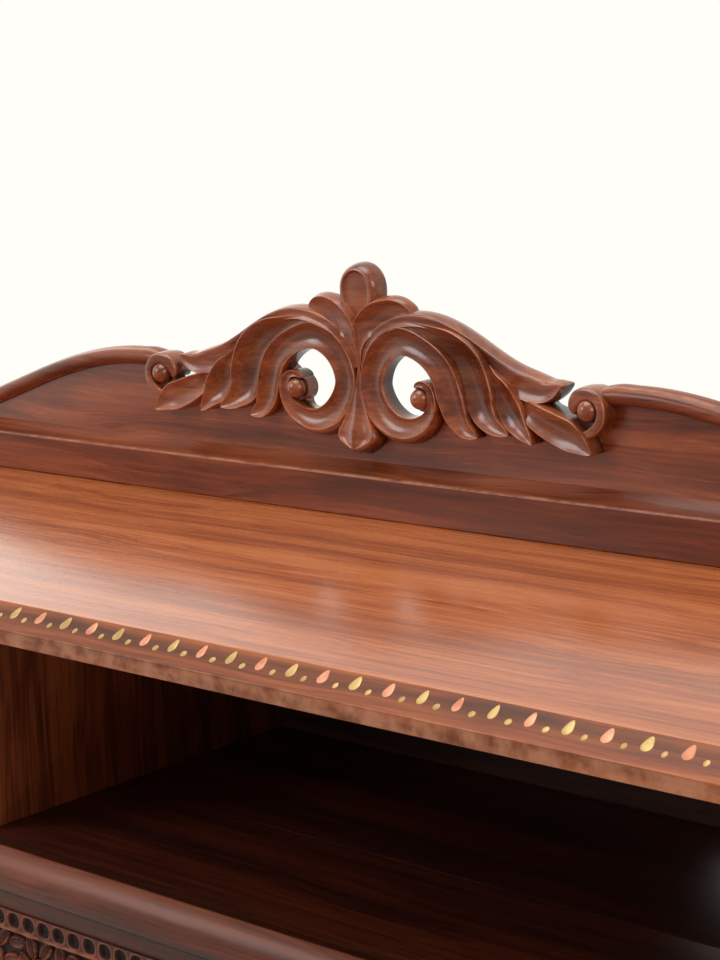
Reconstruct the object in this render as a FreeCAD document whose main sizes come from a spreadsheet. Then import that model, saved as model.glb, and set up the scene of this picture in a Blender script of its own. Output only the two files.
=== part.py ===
import FreeCAD
import Part
import Sketcher
import math
import os
import re
from FreeCAD import Vector

# Carved television cabinet: an open shelf over a row of carved drawers, with a pierced
# and carved gallery standing along the rear of the top.
# Frame: origin on the floor under the middle of the top, X to the right, Y to the back, Z up.

# Driving sizes in millimetres, and sizes of the crest that follow its height.
SIZES = {
    # Outer sizes of the carcass and its top.
    "cabinet_width": 1500,
    "cabinet_depth": 476,
    "cabinet_height": 600,
    "top_thickness": 25,
    "side_overhang": 20,
    "front_overhang": 56,
    "back_overhang": 10,
    # Moulded front edge of the top and its metal inlay.
    "lipping_height": 29.5,
    "bevel_height": 16,
    "bevel_run": 26,
    "inlay_pitch": 32.85,
    "inlay_phase": -9.2,
    "inlay_margin": 14,
    "inlay_thickness": 1.6,
    "inlay_gap": 0.15,
    "teardrop_width": 9.5,
    "teardrop_length": 14,
    "teardrop_rise": 5.3,
    "stud_dot_radius": 3,
    "stud_dot_fall": 0.6,
    # Posts, rails and panels.
    "post_size": 46,
    "foot_height": 70,
    "foot_pad_radius": 17,
    "foot_pad_height": 5,
    "foot_bulge_radius": 28,
    "foot_neck_radius": 14,
    "foot_neck_height": 48,
    "foot_collar_radius": 22,
    "foot_collar_height": 14,
    "side_rail_thickness": 28,
    "side_top_rail_height": 50,
    "side_panel_thickness": 14,
    "back_thickness": 8,
    "back_inset": 2,
    "cable_hole_radius": 35,
    "cable_hole_height": 65,
    "cable_hole_offset": 451,
    # Open shelf.
    "shelf_thickness": 20,
    "shelf_front_board_depth": 170,
    "partition_offset": 134,
    "partition_thickness": 20,
    "partition_setback": 10,
    "nosing_height": 40,
    "nosing_projection": 24,
    "nosing_round": 16,
    "nosing_foot_round": 10,
    "shelf_rail_depth": 40,
    # Drawer bank.
    "drawer_bay_height": 189,
    "bottom_thickness": 16,
    "divider_offset": 190,
    "divider_thickness": 24,
    "pilaster_bead_height": 9,
    "pilaster_neck_radius": 7.5,
    "apron_height": 44,
    "apron_thickness": 22,
    "apron_rise": 18,
    "apron_bracket": 60,
    "apron_pendant": 90,
    "drawer_gap": 2,
    "drawer_front_thickness": 22,
    "drawer_wall": 12,
    "drawer_bottom_thickness": 6,
    "drawer_bottom_lift": 8,
    "drawer_side_gap": 4,
    "drawer_rear_room": 20,
    "drawer_head_room": 5,
    "runner_height": 10,
    "runner_width": 20,
    "running_gap": 0.3,
    "stop_length": 60,
    "stop_depth": 14,
    "stop_height": 12,
    "drawer_border": 24,
    "carved_panel_thickness": 9,
    "carved_panel_seat": 7,
    "carved_panel_gap": 0.2,
    "carved_margin": 12,
    "carved_sinking": 3,
    "knob_radius": 13,
    "knob_rose_radius": 15,
    "knob_rose_height": 4,
    "knob_neck_radius": 6,
    "knob_neck_height": 2,
    "knob_projection": 26,
    "knob_stud_radius": 3,
    "knob_stud_gap": 0.3,
    "knob_nut_radius": 6.5,
    "knob_nut_height": 5,
    "knob_nut_gap": 0.1,
    "knob_stud_end": 2,
    # Gallery along the rear of the top.
    "gallery_side_setback": 15,
    "gallery_thickness": 30,
    "field_thickness": 12,
    "field_margin": 1.5,
    "base_moulding_height": 42,
    "cove_height": 12,
    "cove_edge": 1,
    "roll_relief": 13,
    "roll_end_height": 50,
    "carving_relief": 14,
    "carving_edge": 4,
    "carving_back_step": 1,
    "drop_back_inset": 9,
    "bud_height": 254,
    "bud_half_width": "=bud_height / 254 * 23",
    "roll_radius": "=bud_height / 254 * 8.5",
    "roll_volute_offset": "=bud_height / 254 * 278",
    "roll_volute_height": "=bud_height / 254 * 127",
    "roll_volute_radius": "=bud_height / 254 * 10",
    "roll_apex_offset": "=bud_height / 254 * 325",
    "roll_apex_height": "=bud_height / 254 * 144",
    "scroll_hole_offset": "=bud_height / 254 * 62",
    "scroll_hole_height": "=bud_height / 254 * 135",
    "scroll_hole_radius": "=bud_height / 254 * 31",
    "scroll_ball_offset": "=bud_height / 254 * 76",
    "scroll_ball_height": "=bud_height / 254 * 123",
    "scroll_ball_radius": "=bud_height / 254 * 10",
    "scroll_curl_width": "=bud_height / 254 * 5",
    "bud_thickness": 27,
    "bud_back_inset": 2,
    "bud_shoulder_depth": 9,
    "bud_rim_depth": 4,
    "bud_dish_depth": 5,
}

# Carved members of the crest's right half. Each station of a spine is the distance from the
# crest's centre line, the height over the top and the member's width there. One unit of a
# station is this share of the bud's height.
STATION_SHARE = 1 / 254
SCROLL = (
    (76, 134, 4), (84, 130, 5), (87, 121, 6), (85, 111, 9), (77, 102, 13), (55, 95, 21),
    (29, 106, 26), (17, 131, 30), (24, 157, 32), (54, 178, 28), (86, 172, 27), (107, 151, 27),
    (118, 122, 28), (127, 102, 18), (143, 93, 4),
)
SECOND_LOBE = (
    (70, 196, 4), (96, 191, 10), (121, 178, 16), (142, 161, 20), (152, 139, 26), (157, 119, 26),
    (165, 106, 17), (181, 98, 4),
)
THIRD_LOBE = ((160, 172, 4), (179, 147, 13), (189, 130, 22), (196, 113, 24), (204, 102, 16), (211, 94, 4))
FOURTH_LOBE = ((196, 140, 4), (212, 122, 22), (230, 114, 34), (250, 108, 36), (264, 101, 25), (277, 90, 5))
TOP_LEAF = (
    (14, 182, 6), (30, 192, 11), (50, 199, 14), (73, 202, 13), (96, 200, 12), (118, 195, 14),
    (140, 187, 15), (164, 174, 16), (187, 157, 24), (209, 147, 27), (230, 144, 18), (246, 150, 5),
)
PETAL = (
    (0, 176, 6), (4, 190, 10), (12, 200, 14), (25, 209, 15), (42, 213, 14), (57, 212, 11), (68, 209, 5),
)
DROP = ((0, 160, 4), (0, 128, 8), (0, 108, 18), (0, 92, 37), (0, 80, 27), (0, 69, 4))

CARVED_MEMBERS = (SCROLL, SECOND_LOBE, THIRD_LOBE, FOURTH_LOBE, TOP_LEAF, PETAL)

# Height of a cubic curve's crown over its ends, as a share of its inner poles' height.
BEZIER_CROWN = 0.75
# Reach of a cubic curve's inner poles that follows half a cosine wave, as a share of its run.
COSINE_REACH = 0.3642
# Greatest rise of a carved member's bowed face, as a share of its width.
BOW_RISE = 0.45
# Spacing of the sections along the carved members and along the roll, in millimetres.
MEMBER_STEP = 14
ROLL_STEP = 9
ROLL_STATIONS = 14
# Curl of the roll about its volute's eye: turn in degrees and share of the roll's width.
VOLUTE_CURL = ((-75, 0.35), (-120, 0.5), (-170, 0.65), (140, 0.8), (100, 0.95))
# Bud, in shares of its half width: head and foot from the widest line, bow of the pointed foot.
BUD_HEAD = 1.2
BUD_FOOT = 1.3
BUD_BOW = (0.72, 0.75)
# Bud's outline at its rim, at its face and at the mouth and ground of the sunk dish, in shares.
BUD_RIM = 0.95
BUD_FACE = 0.8
BUD_DISH = (0.66, 0.58)
# Bow of a teardrop's sides, as a share of its round foot's radius.
TEARDROP_BOW = 0.06
# A coordinate under this size, in millimetres, lies on the sketch axis.
ON_AXIS = 1e-9

# Named planes of the cabinet, written in the driving sizes.
HALF = "(cabinet_width / 2)"
OUTER = f"({HALF} - side_overhang)"
INNER = f"({OUTER} - post_size)"
EDGE = "(-cabinet_depth / 2)"
FACE = f"({EDGE} + front_overhang)"
REAR = "(cabinet_depth / 2)"
POST_REAR = f"({REAR} - back_overhang)"
BACK_FACE = f"({POST_REAR} - back_inset)"
BACK = f"({BACK_FACE} - back_thickness)"
TOP = "cabinet_height"
TOP_UNDER = "(cabinet_height - top_thickness)"
FLOOR_UNDER = "(foot_height + apron_height)"
BAY_FLOOR = f"({FLOOR_UNDER} + bottom_thickness)"
BAY_HEAD = f"({BAY_FLOOR} + drawer_bay_height)"
SHELF = f"({BAY_HEAD} + nosing_height)"
SHELF_UNDER = f"({SHELF} - shelf_thickness)"
FIELD = f"({REAR} - field_thickness)"
GALLERY_FACE = f"({REAR} - gallery_thickness)"
SIDES = (("left", -1), ("right", 1))

doc = FreeCAD.newDocument("carved_tv_cabinet")
nodes = []


def make_sheet():
    """Write every driving size into a cell under its own alias."""
    page = doc.addObject("Spreadsheet::Sheet", "Sizes")
    for row, (alias, size) in enumerate(SIZES.items(), start=1):
        page.set(f"A{row}", alias)
        page.set(f"B{row}", str(size))
        page.setAlias(f"B{row}", alias)
    doc.recompute()
    return page


sheet = make_sheet()


def formula(text):
    """Point each size named in a text at its cell."""

    def cell(word):
        return f"Sizes.{word.group()}" if word.group() in SIZES else word.group()

    return re.sub(r"[a-z]\w*", cell, text)


def number(text):
    """Value of a text written in the driving sizes."""
    return float(sheet.evalExpression(formula(text)))


def bind(thing, **sizes):
    """Tie properties of an object to the sheet."""
    for name, text in sizes.items():
        thing.setExpression(name, formula(text))


def place(thing, x="0", y="0", z="0"):
    """Tie an object's position to the sheet."""
    for axis, text in (("x", x), ("y", y), ("z", z)):
        thing.setExpression(f"Placement.Base.{axis}", formula(text))


def keep(thing, label):
    """Name a finished sub-part."""
    thing.Label = label
    nodes.append(thing)
    return thing


def span(sign, near, far):
    """Range between two distances from the middle plane, on the right or mirrored to the left."""
    return (near, far) if sign > 0 else (f"-({far})", f"-({near})")


def box(name, x, y, z):
    """Board between two planes in each direction."""
    board = doc.addObject("Part::Box", name)
    bind(board, Length=f"{x[1]} - ({x[0]})", Width=f"{y[1]} - ({y[0]})", Height=f"{z[1]} - ({z[0]})")
    place(board, x[0], y[0], z[0])
    return board


def board(label, x, y, z):
    """Plain board that is a sub-part by itself."""
    return keep(box(label, x, y, z), label)


def bore(name, radius, length, x, y, z):
    """Round tool along Y that starts at y."""
    tool = doc.addObject("Part::Cylinder", name)
    bind(tool, Radius=radius, Height=length)
    tool.Placement.Rotation = FreeCAD.Rotation(Vector(1, 0, 0), -90)
    place(tool, x, y, z)
    return tool


def cut(name, base, tool):
    piece = doc.addObject("Part::Cut", name)
    piece.Base = base
    piece.Tool = tool
    return piece


def group(name, members):
    """Several separate solids in one object."""
    bundle = doc.addObject("Part::Compound", name)
    bundle.Links = members
    return bundle


def arc_between(start, end, radius, side):
    """Arc of a given radius; side 1 puts its centre to the left of the way from start to end."""
    chord = end - start
    half = chord.Length / 2
    rise = math.sqrt(max(radius * radius - half * half, 0))
    left = Vector(-chord.y, chord.x, 0).normalize()
    centre = start + chord * 0.5 + left * (side * rise)
    first = start - centre
    last = end - centre
    turn = (first, last) if side > 0 else (last, first)
    angles = [math.atan2(arm.y, arm.x) for arm in turn]
    return Part.ArcOfCircle(Part.Circle(centre, Vector(0, 0, 1), radius), angles[0], angles[1])


def outline(body, plane, corners):
    """Closed sketch in positive coordinates. A corner is (x, y) where the next side is straight,
    or (x, y, radius, side) where it is an arc."""
    sketch = body.newObject("Sketcher::SketchObject", f"{body.Name}_outline")
    support = [item for item in body.Origin.OriginFeatures if item.Role == plane][0]
    sketch.AttachmentSupport = [(support, "")]
    sketch.MapMode = "FlatFace"
    points = [Vector(number(corner[0]), number(corner[1]), 0) for corner in corners]
    starts = []
    for index, corner in enumerate(corners):
        start = points[index]
        end = points[(index + 1) % len(points)]
        if len(corner) == 2:
            side = sketch.addGeometry(Part.LineSegment(start, end))
            starts.append((side, 1, 2))
        else:
            side = sketch.addGeometry(arc_between(start, end, number(corner[2]), corner[3]))
            starts.append((side, 1, 2) if corner[3] > 0 else (side, 2, 1))
    for index, corner in enumerate(corners):
        side, first, last = starts[index]
        following = starts[(index + 1) % len(starts)]
        sketch.addConstraint(Sketcher.Constraint("Coincident", side, last, following[0], following[1]))
        for kind, axis, text in (("DistanceX", -2, corner[0]), ("DistanceY", -1, corner[1])):
            if abs(number(text)) < ON_AXIS:
                sketch.addConstraint(Sketcher.Constraint("PointOnObject", side, first, axis))
                continue
            mark = sketch.addConstraint(Sketcher.Constraint(kind, -1, 1, side, first, number(text)))
            sketch.setExpression(f"Constraints[{mark}]", formula(text))
        if len(corner) > 2:
            mark = sketch.addConstraint(Sketcher.Constraint("Radius", side, number(corner[2])))
            sketch.setExpression(f"Constraints[{mark}]", formula(corner[2]))
    return sketch


def padded(name, plane, corners, length):
    """Outline carried straight along the plane's normal, half of the length to each side."""
    body = doc.addObject("PartDesign::Body", name)
    sketch = outline(body, plane, corners)
    pad = body.newObject("PartDesign::Pad", f"{name}_pad")
    pad.Profile = sketch
    pad.Midplane = True
    bind(pad, Length=length)
    return body


def turned(name, corners, angle=360, turn_back=False):
    """Outline of radius and height turned about the upright axis."""
    body = doc.addObject("PartDesign::Body", name)
    sketch = outline(body, "XZ_Plane", corners)
    turning = body.newObject("PartDesign::Revolution", f"{name}_turning")
    turning.Profile = sketch
    turning.ReferenceAxis = (sketch, ["V_Axis"])
    turning.Angle = angle
    turning.Reversed = turn_back
    return body


def make_top():
    """Top panel, the strip behind it that carries the gallery, the moulded front edge and the metal
    inlay let into its bevel."""
    board("top_panel", (f"-{HALF}", HALF), (FACE, GALLERY_FACE), (TOP_UNDER, TOP))
    board("top_rear_strip", (f"-{HALF}", HALF), (GALLERY_FACE, REAR), (TOP_UNDER, TOP))
    corners = (
        ("0", "0"), ("front_overhang", "0"), ("front_overhang", "lipping_height"),
        ("bevel_run", "lipping_height"), ("0", "lipping_height - bevel_height"),
    )
    lipping = padded("lipping_blank", "YZ_Plane", corners, "cabinet_width")
    place(lipping, "0", EDGE, f"{TOP} - lipping_height")
    doc.recompute()
    brass, copper, pockets = inlay_solids()
    tool = doc.addObject("Part::Feature", "inlay_pockets")
    tool.Shape = Part.makeCompound(pockets)
    keep(cut("top_front_lipping", lipping, tool), "top_front_lipping")
    for label, solids in (("inlay_brass", brass), ("inlay_copper", copper)):
        metal = doc.addObject("Part::Feature", label)
        metal.Shape = Part.makeCompound(solids)
        keep(metal, label)


def teardrop(width, length):
    """Flat teardrop, point up: a round foot and two bowed sides that meet in the tip."""
    radius = width / 2
    foot = Vector(0, -length / 2, 0)
    tip = Vector(0, length / 2, 0)
    right = Vector(radius, radius - length / 2, 0)
    left = Vector(-radius, radius - length / 2, 0)
    bow = (tip + right) * 0.5 + Vector(radius * TEARDROP_BOW, 0, 0)
    mirrored = Vector(-bow.x, bow.y, 0)
    sides = [Part.Arc(left, foot, right), Part.Arc(right, bow, tip), Part.Arc(tip, mirrored, left)]
    return Part.Face(Part.Wire([side.toShape() for side in sides]))


def dot(radius):
    """Flat round dot."""
    return Part.Face(Part.Wire([Part.Circle(Vector(), Vector(0, 0, 1), radius).toShape()]))


def inlay_solids():
    """Teardrops in turn of brass and copper with a brass dot between two of them, and the
    pockets that they are let into."""
    lean = math.atan2(number("bevel_run"), number("bevel_height"))
    middle = Vector(0, number(f"{EDGE} + bevel_run / 2"), number(f"{TOP} - bevel_height / 2"))
    upward = Vector(0, math.sin(lean), math.cos(lean))
    pitch = number("inlay_pitch")
    reach = number(f"{HALF} - inlay_margin")
    first = math.ceil((-reach - number("inlay_phase")) / pitch)
    last = math.floor((reach - number("inlay_phase")) / pitch)
    gap = number("inlay_gap")
    brass, copper, pockets = [], [], []

    def let_in(face, wider, x, fall, metal):
        spot = middle - upward * fall
        turn = FreeCAD.Rotation(Vector(1, 0, 0), 90 - math.degrees(lean))
        sunk = Vector(0, math.cos(lean), -math.sin(lean)) * number("inlay_thickness")
        for flat, pile in ((face, metal), (wider, pockets)):
            seat = flat.copy()
            seat.Placement = FreeCAD.Placement(Vector(x, spot.y, spot.z), turn)
            pile.append(seat.extrude(sunk))

    width = number("teardrop_width")
    length = number("teardrop_length")
    radius = number("stud_dot_radius")
    for index in range(first, last + 1):
        x = number("inlay_phase") + pitch * index
        metal = copper if index % 2 else brass
        wider = teardrop(width + 2 * gap, length + 2 * gap)
        let_in(teardrop(width, length), wider, x, -number("teardrop_rise"), metal)
        if index < last:
            let_in(dot(radius), dot(radius + gap), x + pitch / 2, number("stud_dot_fall"), brass)
    return brass, copper, pockets


def make_frame():
    """Turned feet, corner posts, framed sides, aprons, bottom and back."""
    foot = (
        ("0", "0"), ("foot_pad_radius", "0"),
        ("foot_pad_radius", "foot_pad_height", "foot_bulge_radius", 1),
        ("foot_neck_radius", "foot_neck_height"),
        ("foot_collar_radius", "foot_height - foot_collar_height"),
        ("foot_collar_radius", "foot_height"), ("0", "foot_height"),
    )
    ends = (("front", (FACE, f"{FACE} + post_size")), ("rear", (f"{POST_REAR} - post_size", POST_REAR)))
    for side, sign in SIDES:
        across = span(sign, INNER, OUTER)
        for end, depth in ends:
            board(f"post_{end}_{side}", across, depth, ("foot_height", TOP_UNDER))
            leg = keep(turned(f"foot_{end}_{side}_body", foot), f"foot_{end}_{side}")
            place(leg, f"{sign} * ({INNER} + post_size / 2)", f"({depth[0]} + {depth[1]}) / 2")
        depth = (f"{FACE} + post_size", f"{POST_REAR} - post_size")
        across = span(sign, INNER, f"{INNER} + side_rail_thickness")
        head = f"({TOP_UNDER} - side_top_rail_height)"
        rails = [
            box(f"side_rail_low_{side}", across, depth, ("foot_height", BAY_FLOOR)),
            box(f"side_rail_high_{side}", across, depth, (head, TOP_UNDER)),
        ]
        keep(group(f"side_rails_{side}", rails), f"side_rails_{side}")
        across = span(sign, INNER, f"{INNER} + side_panel_thickness")
        board(f"side_panel_{side}", across, depth, (BAY_FLOOR, head))
    width = (f"-{INNER}", INNER)
    board("bottom_panel", width, (FACE, BACK), (FLOOR_UNDER, BAY_FLOOR))
    board("rear_apron", width, (f"{BACK_FACE} - apron_thickness", BACK_FACE), ("foot_height", FLOOR_UNDER))
    board("lower_back_panel", width, (BACK, BACK_FACE), (FLOOR_UNDER, SHELF_UNDER))
    make_front_apron()
    panel = box("upper_back_blank", width, (BACK, BACK_FACE), (SHELF_UNDER, TOP_UNDER))
    holes = [
        bore(f"cable_hole_{side}", "cable_hole_radius", "3 * back_thickness", f"{sign} * cable_hole_offset",
             f"{BACK} - back_thickness", f"{SHELF} + cable_hole_height")
        for side, sign in SIDES
    ]
    keep(cut("upper_back_panel", panel, group("cable_holes", holes)), "upper_back_panel")


def make_front_apron():
    """Front apron whose lower edge rises from end brackets and falls to a pointed pendant."""
    length = f"(2 * {INNER})"
    bow = "((apron_pendant * apron_pendant + apron_rise * apron_rise) / (2 * apron_rise))"
    corners = (
        ("0", "0"), ("apron_bracket", "0", "apron_rise", -1), ("apron_bracket + apron_rise", "apron_rise"),
        (f"{length} / 2 - apron_pendant", "apron_rise", bow, -1),
        (f"{length} / 2", "0", bow, -1), (f"{length} / 2 + apron_pendant", "apron_rise"),
        (f"{length} - apron_bracket - apron_rise", "apron_rise", "apron_rise", -1),
        (f"{length} - apron_bracket", "0"), (length, "0"), (length, "apron_height"), ("0", "apron_height"),
    )
    apron = padded("front_apron_body", "XZ_Plane", corners, "apron_thickness")
    place(apron, f"-{INNER}", f"{FACE} + apron_thickness / 2", "foot_height")
    keep(apron, "front_apron")


def make_open_shelf():
    """Two shelf boards with a rounded nosing, their rails and the upright partition."""
    width = (f"-{INNER}", INNER)
    seam = f"({FACE} + shelf_front_board_depth)"
    board("shelf_front_board", width, (FACE, seam), (SHELF_UNDER, SHELF))
    board("shelf_rear_board", width, (seam, BACK), (SHELF_UNDER, SHELF))
    front_rail = (FACE, f"{FACE} + shelf_rail_depth")
    rear_rail = (f"{BACK} - shelf_rail_depth", BACK)
    board("shelf_front_rail", width, front_rail, (BAY_HEAD, SHELF_UNDER))
    board("shelf_rear_rail", width, rear_rail, (BAY_HEAD, SHELF_UNDER))
    across = ("-(partition_offset + partition_thickness)", "-partition_offset")
    board("shelf_partition", across, (f"{FACE} + partition_setback", BACK), (SHELF, TOP_UNDER))
    corners = (
        ("nosing_foot_round", "0"), ("nosing_projection", "0"), ("nosing_projection", "nosing_height"),
        ("nosing_round", "nosing_height", "nosing_round", 1), ("0", "nosing_height - nosing_round"),
        ("0", "nosing_foot_round", "nosing_foot_round", 1),
    )
    nosing = padded("shelf_nosing_body", "YZ_Plane", corners, f"2 * {OUTER}")
    place(nosing, "0", f"{FACE} - nosing_projection", BAY_HEAD)
    keep(nosing, "shelf_nosing")


def make_drawer_bank():
    """Dividers with split turned pilasters, runners, stops and the three drawers."""
    inner_edge = "(divider_offset - divider_thickness / 2)"
    outer_edge = "(divider_offset + divider_thickness / 2)"
    for side, sign in SIDES:
        across = span(sign, inner_edge, outer_edge)
        board(f"drawer_divider_{side}", across, (FACE, BACK), (BAY_FLOOR, BAY_HEAD))
    full = "divider_thickness / 2"
    tall = "drawer_bay_height"
    turning = (
        ("0", "0"), (full, "0"), (full, "pilaster_bead_height"),
        ("pilaster_neck_radius", f"pilaster_bead_height + {full} - pilaster_neck_radius"),
        ("pilaster_neck_radius", f"{tall} - pilaster_bead_height - {full} + pilaster_neck_radius"),
        (full, f"{tall} - pilaster_bead_height"), (full, tall), ("0", tall),
    )
    pilasters = []
    for side, sign in SIDES:
        for name, offset in (("inner", "divider_offset"), ("outer", f"({INNER} + post_size / 2)")):
            half = turned(f"pilaster_{name}_{side}", turning, angle=180, turn_back=True)
            place(half, f"{sign} * {offset}", FACE, BAY_FLOOR)
            pilasters.append(half)
    keep(group("pilaster_group", pilasters), "pilasters")
    bays = (
        ("left", f"(-{INNER})", f"(-{outer_edge})"),
        ("centre", f"(-{inner_edge})", inner_edge),
        ("right", outer_edge, INNER),
    )
    runners, stops = [], []
    behind = f"({FACE} + drawer_front_thickness + running_gap)"
    for name, low, high in bays:
        depth = (behind, BACK)
        height = (BAY_FLOOR, f"{BAY_FLOOR} + runner_height")
        runners.append(box(f"runner_low_{name}", (low, f"{low} + runner_width"), depth, height))
        runners.append(box(f"runner_high_{name}", (f"{high} - runner_width", high), depth, height))
        middle = f"({low} + {high}) / 2"
        across = (f"{middle} - stop_length / 2", f"{middle} + stop_length / 2")
        height = (BAY_FLOOR, f"{BAY_FLOOR} + stop_height")
        stops.append(box(f"stop_{name}", across, (behind, f"{behind} + stop_depth"), height))
        make_drawer(name, low, high)
    keep(group("runner_group", runners), "drawer_runners")
    keep(group("stop_group", stops), "drawer_stops")


def make_drawer(name, low, high):
    """Drawer: front with a let-in carved panel, two sides, back, bottom and a turned knob."""
    left = f"({low} + drawer_gap)"
    right = f"({high} - drawer_gap)"
    foot = f"({BAY_FLOOR} + drawer_gap)"
    head = f"({BAY_HEAD} - drawer_gap)"
    rear = f"({FACE} + drawer_front_thickness)"
    middle = f"(({low} + {high}) / 2)"
    centre = f"(({foot} + {head}) / 2)"
    seat = f"({FACE} + carved_panel_seat)"
    blank = box(f"front_blank_{name}", (left, right), (FACE, rear), (foot, head))
    hollow = box(
        f"panel_seat_{name}", (f"{left} + drawer_border", f"{right} - drawer_border"),
        (f"{FACE} - carved_panel_seat", seat), (f"{foot} + drawer_border", f"{head} - drawer_border"),
    )
    hole_radius = "knob_stud_radius + knob_stud_gap"
    hole = bore(f"knob_hole_{name}", hole_radius, "3 * drawer_front_thickness", middle,
                f"{FACE} - drawer_front_thickness", centre)
    tools = doc.addObject("Part::Fuse", f"front_tools_{name}")
    tools.Base = hollow
    tools.Tool = hole
    keep(cut(f"front_{name}", blank, tools), f"drawer_{name}_front")
    make_carved_panel(name, (left, right), (foot, head), seat, (middle, centre))
    inner_left = f"({low} + drawer_side_gap)"
    inner_right = f"({high} - drawer_side_gap)"
    box_rear = f"({BACK} - drawer_rear_room)"
    sole = f"({BAY_FLOOR} + runner_height + running_gap)"
    rim = f"({BAY_HEAD} - drawer_head_room)"
    between = (f"{inner_left} + drawer_wall", f"{inner_right} - drawer_wall")
    sides = [
        box(f"side_low_{name}", (inner_left, between[0]), (rear, box_rear), (sole, rim)),
        box(f"side_high_{name}", (between[1], inner_right), (rear, box_rear), (sole, rim)),
    ]
    keep(group(f"sides_{name}", sides), f"drawer_{name}_sides")
    floor = f"({sole} + drawer_bottom_lift)"
    board(f"drawer_{name}_back", between, (f"{box_rear} - drawer_wall", box_rear), (floor, rim))
    board(f"drawer_{name}_bottom", between, (rear, f"{box_rear} - drawer_wall"),
          (floor, f"{floor} + drawer_bottom_thickness"))
    make_knob(name, middle, centre, rear)


def make_carved_panel(name, across, upright, seat, knob_spot):
    """Panel let into the drawer front, its ground sunk inside a plain margin."""
    edge = "(drawer_border + carved_panel_gap)"
    left, right = f"({across[0]} + {edge})", f"({across[1]} - {edge})"
    foot, head = f"({upright[0]} + {edge})", f"({upright[1]} - {edge})"
    face = f"({seat} - carved_panel_thickness)"
    plate = box(f"panel_blank_{name}", (left, right), (face, seat), (foot, head))
    ground = box(
        f"panel_ground_{name}", (f"{left} + carved_margin", f"{right} - carved_margin"),
        (f"{face} - carved_sinking", f"{face} + carved_sinking"),
        (f"{foot} + carved_margin", f"{head} - carved_margin"),
    )
    boss = bore(f"panel_boss_{name}", "knob_rose_radius", "2 * carved_sinking", knob_spot[0],
                f"{face} - carved_sinking", knob_spot[1])
    hole = bore(f"panel_hole_{name}", "knob_stud_radius + knob_stud_gap", "3 * carved_panel_thickness",
                knob_spot[0], f"{face} - carved_panel_thickness", knob_spot[1])
    tools = doc.addObject("Part::Fuse", f"panel_tools_{name}")
    tools.Base = cut(f"panel_sinking_{name}", ground, boss)
    tools.Tool = hole
    keep(cut(f"carved_panel_{name}", plate, tools), f"drawer_{name}_carved_panel")


def make_knob(name, middle, centre, rear):
    """Turned knob on a stud through the front, with its nut inside the drawer."""
    tail = f"({rear} + knob_nut_height + knob_stud_end)"
    stud = f"({tail} - {FACE} + carved_panel_thickness - carved_panel_seat)"
    crown = f"({stud} + knob_projection)"
    neck = f"({stud} + knob_rose_height)"
    girth = f"({crown} - knob_radius)"
    turning = (
        ("0", "0"), ("knob_stud_radius", "0"), ("knob_stud_radius", stud), ("knob_rose_radius", stud),
        ("knob_rose_radius", f"{stud} + knob_rose_height / 2"), ("knob_neck_radius", neck),
        ("knob_neck_radius", f"{neck} + knob_neck_height"), ("knob_radius", girth, "knob_radius", 1),
        ("0", crown),
    )
    knob = turned(f"knob_{name}", turning)
    knob.Placement.Rotation = FreeCAD.Rotation(Vector(1, 0, 0), 90)
    place(knob, middle, tail, centre)
    hexagon = doc.addObject("Part::Prism", f"nut_blank_{name}")
    hexagon.Polygon = 6
    bind(hexagon, Circumradius="knob_nut_radius", Height="knob_nut_height")
    hexagon.Placement.Rotation = FreeCAD.Rotation(Vector(1, 0, 0), -90)
    place(hexagon, middle, rear, centre)
    hole = bore(f"nut_hole_{name}", "knob_stud_radius + knob_nut_gap", "3 * knob_nut_height", middle,
                f"{rear} - knob_nut_height", centre)
    keep(group(f"knob_set_{name}", [knob, cut(f"nut_{name}", hexagon, hole)]), f"drawer_{name}_knob")


def drawn(stations):
    """Stations of a carved member in millimetres, at the bud's height."""
    step = number("bud_height") * STATION_SHARE
    return [[step * size for size in station] for station in stations]


def spine(stations):
    """Smooth line through the stations of a carved member, which carries the width as its Y."""
    line = Part.BSplineCurve()
    line.interpolate([Vector(x, width, z) for x, z, width in stations])
    return line


def member(stations, back, relief, step=MEMBER_STEP):
    """Carved member: D-shaped sections across its spine, flat behind and bowed in front."""
    top = number(TOP)
    edge = number(f"{FIELD} - carving_edge")
    line = spine(stations)
    step = step * number("bud_height") * STATION_SHARE
    sections = []
    for point in line.discretize(Number=max(5, round(line.length() / step))):
        tangent = line.tangent(line.parameter(point))[0]
        across = Vector(tangent.z, 0, -tangent.x).normalize() * (point.y / 2)
        middle = Vector(point.x, 0, point.z + top)
        rise = min(relief - number("carving_edge"), BOW_RISE * point.y)
        rear_left = middle - across + Vector(0, back, 0)
        rear_right = middle + across + Vector(0, back, 0)
        left = middle - across + Vector(0, edge, 0)
        right = middle + across + Vector(0, edge, 0)
        bulge = Vector(0, -rise / BEZIER_CROWN, 0)
        front = Part.BezierCurve()
        front.setPoles([left, left + bulge, right + bulge, right])
        sides = [
            Part.LineSegment(rear_right, rear_left), Part.LineSegment(rear_left, left),
            front, Part.LineSegment(right, rear_right),
        ]
        sections.append(Part.Wire([side.toShape() for side in sides]))
    return Part.makeLoft(sections, True, False)


def ball(offset, height, radius):
    """Round eye of a volute, standing half out of the field."""
    spot = Vector(number(offset), number(FIELD), number(f"{TOP} + {height}"))
    return Part.makeSphere(number(radius), spot)


def roll_line():
    """Centre line of the roll along the field's edge: an S with level ends from its high point
    beside the crest down to the end of the gallery."""
    high = Vector(number("roll_apex_offset"), 0, number(f"{TOP} + roll_apex_height"))
    low = Vector(number(f"{HALF} - gallery_side_setback"), 0, number(f"{TOP} + roll_end_height"))
    reach = Vector((low.x - high.x) * COSINE_REACH, 0, 0)
    line = Part.BezierCurve()
    line.setPoles([high, high + reach, low - reach, low])
    return line


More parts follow.
